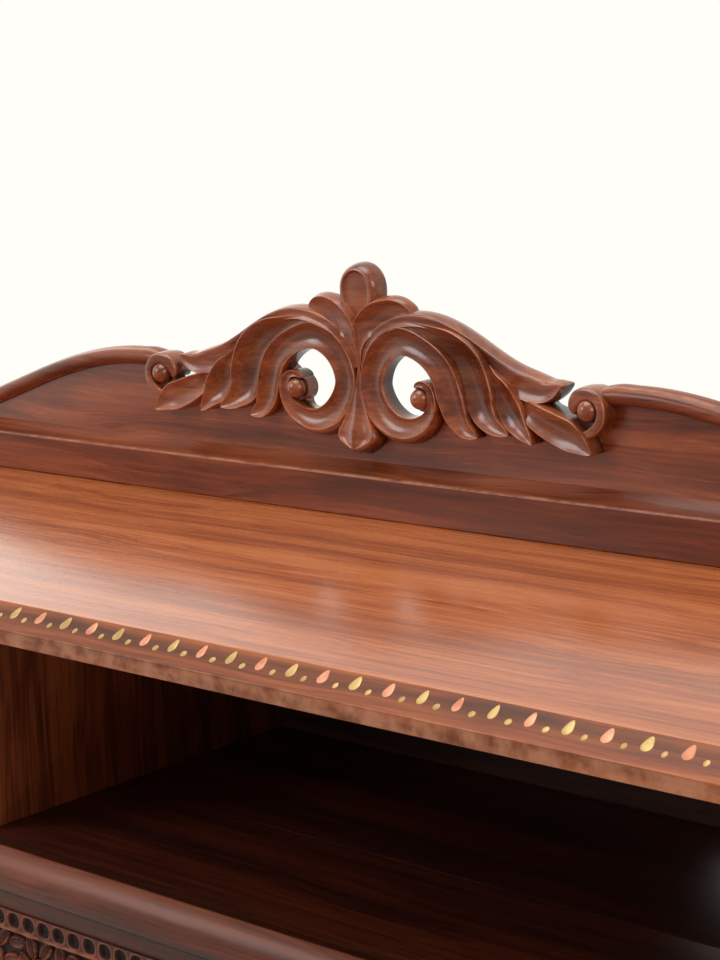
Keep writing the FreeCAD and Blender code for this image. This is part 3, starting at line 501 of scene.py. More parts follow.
def roll_stations():
    """Roll along the board's edge: half a cosine wave from its high point beside the volute down to the
    gallery's end, with a short lead-in over the volute."""
    x = np.linspace(ROLL_APEX[0], GALLERY_END, 16)
    wave = np.cos(np.pi * (x - x[0]) / (x[-1] - x[0]))
    z = (ROLL_APEX[1] + ROLL_END_HEIGHT) / 2 + (ROLL_APEX[1] - ROLL_END_HEIGHT) / 2 * wave
    run = np.stack([x, z, np.full_like(x, ROLL_WIDTH), np.full_like(x, ROLL_RELIEF)], 1)
    return np.concatenate([ROLL_LEAD, run])


def bud_shell():
    """Bud: a full outline, an ellipse above the widest line and a long curve below it, swings along a
    quarter ellipse to the smaller outline of the face, a pointed arch of two circles; from its rim the
    face sinks in scaled rings."""
    angle = np.linspace(0, 2 * np.pi, 96, endpoint=False)
    rise = np.sin(angle)
    side = np.sign(np.cos(angle)) * np.abs(np.cos(angle)) ** np.where(rise > 0, 1, BUD_FOOT_POWER)
    full = np.stack([BUD_HALF_WIDTH * side, np.where(rise > 0, BUD_HEAD, BUD_FOOT) * rise], 1)
    half, head, foot = BUD_FACE
    arc = (head ** 2 + half ** 2) / (2 * half)
    arch = np.sign(np.cos(angle)) * (half - arc + np.sqrt(arc ** 2 - (head * np.clip(rise, 0, 1)) ** 2))
    face = np.stack([np.where(rise > 0, arch, half * side), np.where(rise > 0, head, foot) * rise], 1)
    swing = np.linspace(0, BUD_SWING, 12)[:, None, None]
    back_share, back_depth = np.array(BUD_BACK_RINGS).T[:, :, None, None]
    share, sink = np.array(BUD_FACE_RINGS).T[:, :, None, None]
    plan = np.concatenate([full * back_share, face + (full - face) * np.cos(swing), face * share])
    side_depth = BUD_SIDE_DEPTH + (BUD_RIM_DEPTH - BUD_SIDE_DEPTH) * np.sin(swing)
    depth = np.concatenate([back_depth, side_depth, BUD_RIM_DEPTH - sink])[:, :, 0]
    y = np.broadcast_to(BACK_Y - depth, plan.shape[:2])
    worn = BUD_WORN * hump(depth, BUD_RIM_DEPTH, BUD_WORN_REACH)
    return capped(np.stack([plan[:, :, 0], y, BUD_MIDDLE + TOP_Z + plan[:, :, 1]], -1), worn)


# Board of the gallery

def board_edge(x):
    """Height of the board's upper edge: the carved outline near the middle, then the roll's line."""
    edge = np.concatenate([BOARD_EDGE, roll_stations()[len(ROLL_LEAD) + 1:, :2]])
    return np.interp(x, edge[:, 0], edge[:, 1])


def plate(front, rows, columns, sides):
    """Board between a front grid and its copy on the back plane; the sides are index rows along the
    grid's border, each joined front to back by a strip of quads."""
    flat = front.reshape(-1, 3)
    rear = flat * (1, 0, 1) + (0, BACK_Y, 0)
    count = len(flat)
    grid = quads(rows, columns)
    strips = [np.stack([line[:-1], line[1:], line[1:] + count, line[:-1] + count], 1) for line in sides]
    return shell(np.concatenate([flat, rear]), np.concatenate([grid, grid + count, *strips]))


def wing_plate():
    """Board beside the middle: rows from the top up to the edge line, columns along the cabinet."""
    near = np.linspace(CENTRE_WIDTH, ROLL_APEX[0], WING_POINTS)
    x = np.append(near, np.linspace(ROLL_APEX[0], GALLERY_END, WING_POINTS)[1:])
    z = TOP_Z + np.linspace(0, 1, UPRIGHT_POINTS)[:, None] * board_edge(x)
    front = np.stack([np.broadcast_to(x, z.shape), np.full_like(z, FIELD_Y), z], -1)
    index = np.arange(z.size).reshape(z.shape)
    return plate(front, *z.shape, (index[0], index[-1], index[:, -1]))


def middle_plate():
    """Board around a pierced scroll: straight lines from the border of the middle part to the opening's
    edge at the same angle about the scroll."""
    side = np.linspace(0, 1, UPRIGHT_POINTS)
    right = np.stack([np.full(UPRIGHT_POINTS, CENTRE_WIDTH), side * board_edge(CENTRE_WIDTH)], 1)
    along = np.linspace(CENTRE_WIDTH, 0, EDGE_POINTS)
    upper = np.stack([along, board_edge(along)], 1)
    left = np.stack([np.zeros(UPRIGHT_POINTS), side[::-1] * board_edge(0)], 1)
    lower = np.stack([np.linspace(0, CENTRE_WIDTH, FOOT_POINTS), np.zeros(FOOT_POINTS)], 1)
    border = np.concatenate([right[:-1], upper[:-1], left[:-1], lower[:-1]])
    closed = np.array(BOARD_HOLE + BOARD_HOLE[:1], float)
    hole = smooth_line(closed, 200)[:-1] - HOLE_CENTRE
    bearing = np.arctan2(hole[:, 1], hole[:, 0])
    reach = np.linalg.norm(hole, axis=1)
    order = np.argsort(bearing)
    way = border - HOLE_CENTRE
    angle = np.arctan2(way[:, 1], way[:, 0])
    near = np.interp(angle, bearing[order], reach[order], period=2 * np.pi)
    edge = HOLE_CENTRE + near[:, None] * np.stack([np.cos(angle), np.sin(angle)], 1)
    plan = np.stack([np.append(border, border[:1], 0), np.append(edge, edge[:1], 0)])
    front = np.stack([plan[:, :, 0], np.full(plan.shape[:2], FIELD_Y), TOP_Z + plan[:, :, 1]], -1)
    columns = plan.shape[1]
    step = np.arange(columns)
    upper_side = step[UPRIGHT_POINTS - 1:][:EDGE_POINTS]
    lower_side = step[-FOOT_POINTS:]
    return plate(front, 2, columns, (upper_side, lower_side, columns + step))


# Mouldings and boards

def rounded(corners, radii, steps=6):
    """Closed outline whose corners are arcs: from each corner the arc starts and ends at the tangent
    length radius / tan(half the angle) and bulges towards the corner as a circle does."""
    points = np.array(corners, float)
    before = np.roll(points, 1, 0) - points
    after = np.roll(points, -1, 0) - points
    before /= np.linalg.norm(before, axis=1)[:, None]
    after /= np.linalg.norm(after, axis=1)[:, None]
    half = np.arccos(np.clip((before * after).sum(1), -1, 1)) / 2
    radius = np.broadcast_to(np.asarray(radii, float), half.shape)
    bisector = before + after
    bisector /= np.linalg.norm(bisector, axis=1)[:, None]
    centre = points + bisector * (radius / np.sin(half))[:, None]
    start = points + before * (radius / np.tan(half))[:, None] - centre
    end = points + after * (radius / np.tan(half))[:, None] - centre
    swing = np.pi - 2 * half
    t = np.linspace(0, 1, steps)
    first = np.sin((1 - t) * swing[:, None]) / np.sin(swing)[:, None]
    second = np.sin(t * swing[:, None]) / np.sin(swing)[:, None]
    arcs = centre[:, None] + start[:, None] * first[:, :, None] + end[:, None] * second[:, :, None]
    return arcs.reshape(-1, 2)


def dense(outline, step=1.2):
    """The same open outline with points no further apart than a step, set along its straight parts."""
    length = np.linalg.norm(np.diff(outline, axis=0), axis=1)
    travel = np.append(0, np.cumsum(length))
    place = np.union1d(travel, np.arange(0, travel[-1], step))
    return np.stack([np.interp(place, travel, outline[:, 0]), np.interp(place, travel, outline[:, 1])], 1)


def moulding(outline, low, high, soft=0.8, rim=0.0, shade=0.0):
    """Outline of depth and height carried along X; near each end the outline shrinks towards its middle
    along a quarter round, so that the end's edge is soft."""
    turn = np.linspace(0, np.pi / 2, 4)
    draw = soft * (1 - np.sin(turn))
    move = soft * (1 - np.cos(turn))
    x = np.concatenate([low + move, high - move[::-1]])
    shrink = np.concatenate([draw, draw[::-1]])
    middle = outline.mean(0)
    arm = outline - middle
    scale = 1 - shrink[:, None] / np.abs(arm).max(0)
    plan = middle + arm * scale[:, None, :]
    rings = np.stack([np.broadcast_to(x[:, None], plan.shape[:2]), plan[:, :, 0], plan[:, :, 1]], -1)
    return capped(rings, rim, shade)


def soft_board(low, high, radius):
    """Board with rounded edges: a rectangle with round corners carried along X."""
    corners = ((low[1], low[2]), (high[1], low[2]), (high[1], high[2]), (low[1], high[2]))
    return moulding(rounded(corners, radius), low[0], high[0], radius)


# Node groups

def feed(tree, node, inputs):
    """Give each input of a node a value, or link it to another node's socket."""
    for key, value in inputs.items():
        if isinstance(value, bpy.types.NodeSocket):
            tree.links.new(value, node.inputs[key])
        else:
            node.inputs[key].default_value = value


def add_node(tree, kind, inputs=None, **settings):
    """Add a node, set its options and feed its inputs."""
    made = tree.nodes.new(kind)
    for key, value in settings.items():
        setattr(made, key, value)
    feed(tree, made, inputs or {})
    return made


def calculate(tree, operation, first, second=0.0, clamp=False):
    """Result of a sum, a product or the like of two values or sockets."""
    made = add_node(tree, "ShaderNodeMath", {0: first, 1: second}, operation=operation, use_clamp=clamp)
    return made.outputs[0]


def blend(tree, share, first, second):
    """Colour that passes from the first to the second as the share goes from 0 to 1."""
    return add_node(tree, "ShaderNodeMix", {0: share, 6: first, 7: second}, data_type="RGBA").outputs[2]


def stretched_noise(tree, vector, scale, detail=3.0, roughness=0.55):
    """Noise over coordinates stretched by a scale for each axis."""
    wide = add_node(tree, "ShaderNodeVectorMath", {0: vector, 1: scale}, operation="MULTIPLY")
    settings = {"Vector": wide.outputs[0], "Scale": 1.0, "Detail": detail, "Roughness": roughness}
    return add_node(tree, "ShaderNodeTexNoise", settings).outputs["Fac"]


def between(tree, value, low, high):
    """Smooth step of a value from 0 at low to 1 at high."""
    made = add_node(tree, "ShaderNodeMapRange", {"Value": value, "From Min": low, "From Max": high},
                    interpolation_type="SMOOTHSTEP")
    return made.outputs["Result"]


def new_group(name, inputs, outputs):
    """Empty node group with named sockets; returns its tree, its input sockets and its output node."""
    tree = bpy.data.node_groups.new(name, "ShaderNodeTree")
    for socket, kind, value in inputs:
        made = tree.interface.new_socket(socket, in_out="INPUT", socket_type=kind)
        if value is not None:
            made.default_value = value
    for socket, kind in outputs:
        tree.interface.new_socket(socket, in_out="OUTPUT", socket_type=kind)
    return tree, tree.nodes.new("NodeGroupInput").outputs, tree.nodes.new("NodeGroupOutput")


def make_wood_figure():
    """Grain along X: broad bands and fine streaks are long noises that wander a little, pores are short
    dark dashes, and blotches darken in patches; the scales of a noise are along and across the grain."""
    black = (0, 0, 0, 1)
    inputs = (
        ("Vector", "NodeSocketVector", None), ("Dark", "NodeSocketColor", black),
        ("Middle", "NodeSocketColor", black), ("Light", "NodeSocketColor", black),
        ("Band Scale", "NodeSocketFloat", 1.0), ("Streaks", "NodeSocketFloat", 0.5),
        ("Blotches", "NodeSocketFloat", 0.3), ("Gloss", "NodeSocketFloat", 0.3),
    )
    outputs = (("Color", "NodeSocketColor"), ("Roughness", "NodeSocketFloat"), ("Height", "NodeSocketFloat"))
    tree, given, result = new_group("wood_figure", inputs, outputs)
    drift = stretched_noise(tree, given["Vector"], (2.2, 7, 7), 2)
    lift = add_node(tree, "ShaderNodeCombineXYZ", {"Y": calculate(tree, "MULTIPLY", drift, 0.05),
                                                   "Z": calculate(tree, "MULTIPLY", drift, 0.05)})
    wander = add_node(tree, "ShaderNodeVectorMath", {0: given["Vector"], 1: lift.outputs[0]},
                      operation="ADD")
    banded = add_node(tree, "ShaderNodeVectorMath", {0: wander.outputs[0], "Scale": given["Band Scale"]},
                      operation="SCALE")
    broad = stretched_noise(tree, banded.outputs[0], (1.1, 30, 30), 5, 0.62)
    fine = stretched_noise(tree, wander.outputs[0], (5, 260, 260), 3)
    pores = stretched_noise(tree, wander.outputs[0], (32, 1100, 1100), 2)
    patch = stretched_noise(tree, given["Vector"], (5, 17, 17), 3)
    lines = calculate(tree, "MULTIPLY", calculate(tree, "SUBTRACT", fine, 0.5), given["Streaks"])
    level = between(tree, calculate(tree, "ADD", broad, lines), 0.3, 0.7)
    low = blend(tree, calculate(tree, "MULTIPLY", level, 2.0, True), given["Dark"], given["Middle"])
    high = calculate(tree, "SUBTRACT", calculate(tree, "MULTIPLY", level, 2.0), 1.0, True)
    colour = blend(tree, high, low, given["Light"])
    stain = calculate(tree, "MULTIPLY", between(tree, patch, 0.5, 0.72), given["Blotches"])
    shadow = blend(tree, 0.55, given["Dark"], black)
    colour = blend(tree, stain, colour, shadow)
    pitted = calculate(tree, "MULTIPLY", between(tree, pores, 0.56, 0.68), 0.3)
    colour = blend(tree, pitted, colour, shadow)
    matt = calculate(tree, "MULTIPLY", calculate(tree, "SUBTRACT", fine, 0.5), 0.25)
    rough = calculate(tree, "ADD", given["Gloss"], matt)
    height = calculate(tree, "SUBTRACT", calculate(tree, "MULTIPLY", fine, 0.4), pitted)
    feed(tree, result, {"Color": colour, "Roughness": rough, "Height": height})
    return tree


def make_wear_and_painted_light():
    """Rubbed rims are paler and hollows carry painted shade: mixes a colour by a rim mask and a shade mask.
    """
    black = (0, 0, 0, 1)
    inputs = (
        ("Color", "NodeSocketColor", black), ("Rim", "NodeSocketFloat", 0.0),
        ("Shade", "NodeSocketFloat", 0.0), ("Worn Color", "NodeSocketColor", black),
        ("Worn Amount", "NodeSocketFloat", 0.5), ("Shade Amount", "NodeSocketFloat", 0.5),
        ("Vector", "NodeSocketVector", None),
    )
    tree, given, result = new_group("wear_and_painted_light", inputs, (("Color", "NodeSocketColor"),))
    uneven = between(tree, stretched_noise(tree, given["Vector"], (60, 60, 60), 3), 0.25, 0.7)
    rubbed = calculate(tree, "MULTIPLY", given["Rim"], uneven)
    worn = calculate(tree, "MULTIPLY", rubbed, given["Worn Amount"])
    deep = calculate(tree, "MULTIPLY", given["Shade"], given["Shade Amount"])
    dark = blend(tree, deep, given["Color"], blend(tree, 0.88, given["Color"], black))
    feed(tree, result, {"Color": blend(tree, worn, dark, given["Worn Color"])})
    return tree


# Materials

def tone(red, green, blue):
    """Linear colour of a screen tone from 0 to 255, by the sRGB curve."""
    screen = np.array((red, green, blue)) / 255
    linear = np.where(screen <= 0.04045, screen / 12.92, ((screen + 0.055) / 1.055) ** 2.4)
    return (*linear.tolist(), 1.0)


COAT_ROUGHNESS = 0.22
GRAIN_DEPTH_M = 0.0006
METALLIC = 0.4
GRAIN_TURN = {"x": (0, 0, 0), "y": (0, 0, np.pi / 2), "z": (0, np.pi / 2, 0)}
wood_figure = make_wood_figure()
wear_and_painted_light = make_wear_and_painted_light()


def new_material(name):
    """Empty material; returns it with its tree, its shader and the object's own coordinates."""
    material = bpy.data.materials.new(name)
    material.use_nodes = True
    tree = material.node_tree
    shader = tree.nodes["Principled BSDF"]
    return material, tree, shader, tree.nodes.new("ShaderNodeTexCoord").outputs["Object"]


def wood(name, dark, middle, light, grain="x", band=1.0, streaks=0.5, blotches=0.3, gloss=0.3,
         worn=None, worn_amount=0.6, shade_amount=0.6, relief=0.12, coat=0.0, shine=0.5):
    """Polished wood of three screen tones whose grain runs along an axis; where a worn tone is given, rims
    of a carved piece are marked as worn and its hollows with painted shade."""
    material, tree, shader, place = new_material(name)
    turn = add_node(tree, "ShaderNodeMapping", {"Vector": place, "Rotation": GRAIN_TURN[grain]})
    figure = add_node(tree, "ShaderNodeGroup", {
        "Vector": turn.outputs[0], "Dark": tone(*dark), "Middle": tone(*middle), "Light": tone(*light),
        "Band Scale": band, "Streaks": streaks, "Blotches": blotches, "Gloss": gloss,
    }, node_tree=wood_figure).outputs
    colour = figure["Color"]
    if worn is not None:
        masks = [add_node(tree, "ShaderNodeAttribute", attribute_name=mask).outputs["Fac"]
                 for mask in ("rim", "shade")]
        colour = add_node(tree, "ShaderNodeGroup", {
            "Color": colour, "Rim": masks[0], "Shade": masks[1], "Worn Color": tone(*worn),
            "Worn Amount": worn_amount, "Shade Amount": shade_amount, "Vector": place,
        }, node_tree=wear_and_painted_light).outputs["Color"]
    bump = add_node(tree, "ShaderNodeBump", {"Strength": relief, "Distance": GRAIN_DEPTH_M,
                                             "Height": figure["Height"]})
    feed(tree, shader, {
        "Base Color": colour, "Roughness": figure["Roughness"], "Normal": bump.outputs[0],
        "Specular IOR Level": shine, "Coat Weight": coat, "Coat Roughness": COAT_ROUGHNESS,
    })
    return material


def metal(name, bright, dull):
    """Rubbed metal: patches of a bright and a dull tone, rougher where dull."""
    material, tree, shader, place = new_material(name)
    patch = stretched_noise(tree, place, (70, 70, 70), 4)
    scratch = stretched_noise(tree, place, (900, 300, 900), 2)
    share = between(tree, patch, 0.35, 0.65)
    colour = blend(tree, share, tone(*bright), tone(*dull))
    rough = calculate(tree, "ADD", calculate(tree, "MULTIPLY", share, 0.15), 0.38)
    rough = calculate(tree, "ADD", rough, calculate(tree, "MULTIPLY", scratch, 0.1))
    feed(tree, shader, {"Base Color": colour, "Roughness": rough, "Metallic": METALLIC})
    return material


WORN = (202, 138, 104)
top_wood = wood("top_wood", (148, 72, 32), (184, 98, 48), (204, 118, 64), band=1.0, streaks=0.5,
                blotches=0.06, gloss=0.25, coat=0.4)
gallery_wood = wood("gallery_wood", (92, 40, 18), (138, 67, 34), (168, 92, 50), band=0.8, streaks=0.35,
                    blotches=0.4, gloss=0.24, worn=WORN, worn_amount=0.65, shade_amount=1.0, coat=0.28)
# The gallery's wood in somewhat darker tones, painted shade for the base band and the rolls, with less
# gloss.
shaded_band_wood = wood("shaded_band_wood", (82, 35, 16), (124, 58, 29), (152, 80, 43), band=0.8, streaks=0.35,
                 blotches=0.4, gloss=0.32, worn=WORN, worn_amount=0.6, shade_amount=1.0, coat=0.1, shine=0.3)
edge_wood = wood("edge_wood", (100, 46, 20), (152, 78, 40), (190, 106, 54), band=0.7, streaks=0.4,
                 blotches=0.55, gloss=0.45, worn=WORN, worn_amount=0.7, shade_amount=0.6, shine=0.25)
upright_wood = wood("upright_wood", (66, 27, 12), (114, 53, 25), (150, 76, 36), grain="z", band=0.7,
                    streaks=0.6, blotches=0.5, gloss=0.34)
level_wood = wood("level_wood", (66, 26, 14), (104, 46, 26), (132, 64, 36), band=0.8, streaks=0.5,
                  blotches=0.35, gloss=0.34)
depth_wood = wood("depth_wood", (66, 26, 14), (104, 46, 26), (132, 64, 36), grain="y", band=0.8,
                  streaks=0.5, blotches=0.35, gloss=0.34)
nosing_wood = wood("nosing_wood", (64, 26, 13), (104, 48, 25), (134, 68, 38), band=0.7, streaks=0.4,
                   blotches=0.35, gloss=0.42, worn=WORN, worn_amount=0.5, shade_amount=0.9, coat=0.1,
                   shine=0.25)
drawer_wood = wood("drawer_wood", (40, 18, 10), (64, 31, 18), (88, 46, 26), band=0.8, streaks=0.5,
                   blotches=0.3, gloss=0.45, shine=0.3)
# The shelf boards in very dark tones: painted shade of the bays.
shaded_shelf_wood = wood("shaded_shelf_wood", (40, 13, 6), (63, 23, 11), (86, 35, 16), band=0.9, streaks=0.5,
                  blotches=0.3, gloss=0.42)
carved_wood = wood("carved_wood", (78, 34, 22), (122, 60, 42), (150, 80, 56), band=1.2, streaks=0.3,
                   blotches=0.2, gloss=0.5, worn=(190, 116, 84), worn_amount=0.7, shade_amount=1.0,
                   shine=0.2)
inner_wood = wood("inner_wood", (120, 78, 48), (156, 108, 70), (180, 132, 90), grain="y", streaks=0.5,
                  blotches=0.15, gloss=0.55)
back_board = wood("back_board", (40, 18, 10), (62, 30, 18), (84, 44, 26), streaks=0.4, blotches=0.3,
                  gloss=0.5)
brass = metal("brass", (200, 166, 100), (176, 142, 80))
copper = metal("copper", (220, 148, 110), (196, 122, 88))


# Gallery

def make_gallery():
    """Carved and pierced plank: board, scrolls, leaves, petals, roll, volutes, bud and drop."""
    half = [
        carved_band(SCROLL, hollow=0.2, ends=(3, 10), back=7, bulge=0.5, count=300),
        carved_band(SECOND_LOBE, hollow=0.2, ends=(0, 10), back=1.6, count=190),
        carved_band(THIRD_LOBE, hollow=0.2, ends=(0, 9), back=2.2, count=170),
        carved_band(FOURTH_LOBE, hollow=0.14, ends=(0, 9), back=2.8, count=170),
        carved_band(TOP_LEAF, hollow=0.14, ends=(0, 10), bulge=2.0, soft=6, lit=-1, back=3.4, count=220),
        carved_band(PETAL, hollow=0.12, ends=(0, 5), bulge=3.0, lit=-1, back=4.0, count=170),
        carved_band(VOLUTE_CURL, hollow=0, crown=0.14, ends=(4, 8), back=1.8, soft=1.5, lit=1, count=170),
        eye_ball(*SCROLL_EYE),
        eye_ball(*VOLUTE_EYE),
    ]
    roll = [carved_band(roll_stations(), hollow=0, crown=0.5, ends=(8, 0), bulge=1.5, lit=-1, back=0.6,
                        count=170)]
    board = [wing_plate(), middle_plate()]
    crest = [bud_shell(), carved_band(DROP, hollow=0.12, ridge=0.2, ends=(0, 7), back=4.6, both=True)]
    make_piece("gallery_board", board + [mirrored(part) for part in board], gallery_wood,
               stands_for=("gallery_plank",))
    for side, sign in SIDES:
        parts = half if sign > 0 else [mirrored(part) for part in half]
        rolls = roll if sign > 0 else [mirrored(part) for part in roll]
        make_piece(f"gallery_leaves_{side}", parts, gallery_wood)
        make_piece(f"gallery_roll_{side}", rolls, shaded_band_wood)
    make_piece("gallery_bud_and_drop", crest, gallery_wood)


def make_base_moulding():
    """Band in front of the board's foot with a soft upper edge and, above it, a hollow slope whose height
    grows with depth^1.5 up to the board."""
    low, high = node_box("gallery_base_moulding")
    shoulder = high[2] - COVE_HEIGHT
    foot = low[2] + BAND_LIFT
    corners = ((high[1], foot), (low[1], foot), (low[1], shoulder), (high[1], shoulder + 1))
    edge = dense(rounded(corners, BAND_ROUNDS))
    edge = edge[edge[:, 0] < low[1] + BAND_TURN]
    start = edge[-1]
    run = np.linspace(0, 1, 16)
    climb = (high[1:] - start) * np.stack([run, run ** COVE_POWER], 1)
    outline = np.concatenate([edge, start + climb[1:], ((high[1], foot),)])
    y, z = outline.T
    shoulder_worn = hump(z, shoulder - BAND_WORN_DROP, BAND_WORN_REACH)
    worn = shoulder_worn + BAND_FOOT_WORN * hump(z, foot, BAND_WORN_REACH)
    band = moulding(outline, low[0], high[0], rim=worn * (y < low[1] + BAND_FACE))
    make_piece("gallery_base", [band], shaded_band_wood, stands_for=("gallery_base_moulding",))


# Top

def make_top():
    """Top boards and the bevelled front edge: a slope of BEVEL_RUN by BEVEL_FALL from the board down to the
    arris, and an upright band under it."""
    low, high = node_box("top_front_lipping")
    board_low, board_high = node_box("top_panel")
    arris = np.array((low[1], high[2] - BEVEL_FALL))
    brow = np.array((low[1] + BEVEL_RUN, high[2]))
    board = soft_board((board_low[0], brow[0], board_low[2]), board_high, TOP_ROUND)
    make_piece("top_board", [board], top_wood, stands_for=("top_panel",))
    strip = soft_board(*node_box("top_rear_strip"), STRIP_ROUND)
    make_piece("top_rear_board", [strip], top_wood, stands_for=("top_rear_strip",))
    backing = soft_board((low[0], brow[0], low[2]), (high[0], high[1], board_low[2]), STRIP_ROUND)
    make_piece("front_edge_backing", [backing], edge_wood)
    corners = ((brow[0], low[2]), (low[1], low[2]), arris, brow)
    outline = dense(rounded(corners, BEVEL_ROUNDS))
    worn = ARRIS_WORN * hump(np.linalg.norm(outline - arris, axis=1), 0, ARRIS_REACH)
    # Painted sheen: the upright band under the arris is lightened with the worn tone, though it is not worn.
    worn = np.maximum(worn, LIP_SHEEN * (outline[:, 1] < arris[1] - 1))
    along = ((outline - arris) @ (brow - arris)) / ((brow - arris) @ (brow - arris))
    slope = (along > STAIN_LIMITS[0]) & (along < STAIN_LIMITS[1]) & (outline[:, 1] > arris[1])
    stained = slope * hump(along, STAIN_MIDDLE, STAIN_REACH)
    edge = moulding(outline, low[0], high[0], rim=worn, shade=stained)
    make_piece("front_edge", [edge], edge_wood, stands_for=("top_front_lipping",))
    make_inlay((arris + brow) / 2, brow - arris, low[0], high[0])


def inlay_plates(outline, across, along, middle, up):
    """Low domed plates on the bevel: an outline scaled in rings, each ring lifted along the bevel's normal
    by a quarter ellipse; one copy for each place along the edge, its width uneven by a sine of the place."""
    share, lift = np.array(INLAY_RINGS).T[:, :, None] * np.array((1, INLAY_LIFT))[:, None, None]
    flat = share[:, :, None] * outline
    normal = np.array((-up[1], up[0]))
    climb = along + flat[:, :, 1]
    y = middle[0] + climb * up[0] + lift * normal[0]
    z = middle[1] + climb * up[1] + lift * normal[1]
    uneven = 1 - INLAY_UNEVEN + INLAY_UNEVEN * np.sin(INLAY_WAVE * across)
    return [capped(np.stack([flat[:, :, 0] * width + x, y, z], -1)) for x, width in zip(across, uneven)]


def make_inlay(middle, slope, low, high):
    """Row of metal on the bevel: brass and copper teardrops in turn, point up, and brass dots between."""
    up = slope / np.linalg.norm(slope)
    first = np.ceil((low + INLAY_MARGIN - INLAY_PHASE) / INLAY_PITCH)
    last = np.floor((high - INLAY_MARGIN - INLAY_PHASE) / INLAY_PITCH)
    index = np.arange(first, last + 1)
    x = INLAY_PHASE + INLAY_PITCH * index
    angle = np.linspace(0, 2 * np.pi, 20, endpoint=False)
    half, length = TEARDROP[0] / 2, TEARDROP[1]
    rise = np.sin(angle)
    breadth = half * np.cos(angle) * (1 - TEARDROP_TAPER * np.clip(rise, 0, 1))
    height = np.where(rise > 0, length - half, half) * rise + half - length / 2
    drop = np.stack([breadth, height], 1)
    dot = DOT_RADIUS * np.stack([np.cos(angle), np.sin(angle)], 1)
    even = index % 2 == 0
    dots = inlay_plates(dot, x[:-1] + INLAY_PITCH / 2, -DOT_FALL, middle, up)
    make_piece("brass_inlay", inlay_plates(drop, x[even], TEARDROP_RISE, middle, up) + dots, brass,
               stands_for=("inlay_brass",))
    make_piece("copper_inlay", inlay_plates(drop, x[~even], TEARDROP_RISE, middle, up), copper,
               stands_for=("inlay_copper",))


# Shelf edge and drawers

def make_nosing():
    """Rounded front edge of the shelf: a level strip, the steeper part of a quarter ellipse and a small
    round at the foot."""
    low, high = node_box("shelf_nosing")
    reach = NOSING_DEPTH / (1 - np.sin(NOSING_START))
    swing = np.linspace(NOSING_START, np.pi / 2, 22)
    brow_z = high[2] - NOSING_RISE * (1 - np.cos(swing) / np.cos(NOSING_START))
    brow = np.stack([low[1] + reach * (1 - np.sin(swing)), brow_z], 1)
    turn = np.linspace(0, np.pi / 2, 9)
    foot = low[1:] + NOSING_FOOT * (1 - np.stack([np.cos(turn), np.sin(turn)], 1))
    outline = dense(np.concatenate([((high[1], low[2]), (high[1], high[2])), brow, foot]))
    y, z = outline.T
    # Painted shade: the level strip at the shelf is darkened like the shelf in the bay, and the foot darkens
    # downwards.
    level_shade = np.clip((y - low[1] - NOSING_DEPTH + NOSING_LEVEL_SHADE_RAMP) / NOSING_LEVEL_SHADE_RAMP, 0, 1) * (z > high[2] - 1)
    under = np.clip((low[2] + NOSING_SHADE[0] - z) / NOSING_SHADE[1], 0, 1)
    edge = moulding(outline, low[0], high[0], shade=np.maximum(level_shade, under))
    make_piece("shelf_round_edge", [edge], nosing_wood, stands_for=("shelf_nosing",))


def carved_leaf(x, z, spot, length, width, heading):
    """Height share and rim share of one leaf over the whole panel: along the leaf a runs from -1 to 1 and
    its half width is width * cos(pi a / 2)^0.7; m is the distance from the midrib over that width, the
    rim and the midrib stand up and the blade between them is hollow."""
    turn = np.radians(heading)
    a = ((x - spot[0]) * np.cos(turn) + (z - spot[1]) * np.sin(turn)) / length
    b = (z - spot[1]) * np.cos(turn) - (x - spot[0]) * np.sin(turn)
    half = width * np.clip(np.cos(np.pi * np.clip(a, -1, 1) / 2), 0, 1) ** LEAF_POWER
    m = np.abs(b - LEAF_BEND * width * np.sin(BEND_WAVE * a)) / np.maximum(half, 0.05)
    midrib = BLADE_HEIGHT * hump(m, 0, MIDRIB_HALF)
    blade = BLADE_HEIGHT + (1 - BLADE_HEIGHT) * smooth(m, 0.2, 0.85) + midrib
    inside = (1 - smooth(m, 0.9, 1.05)) * (np.abs(a) < 1)
    return np.clip(blade, 0, 1) * inside, hump(m, *LEAF_RIM) * inside


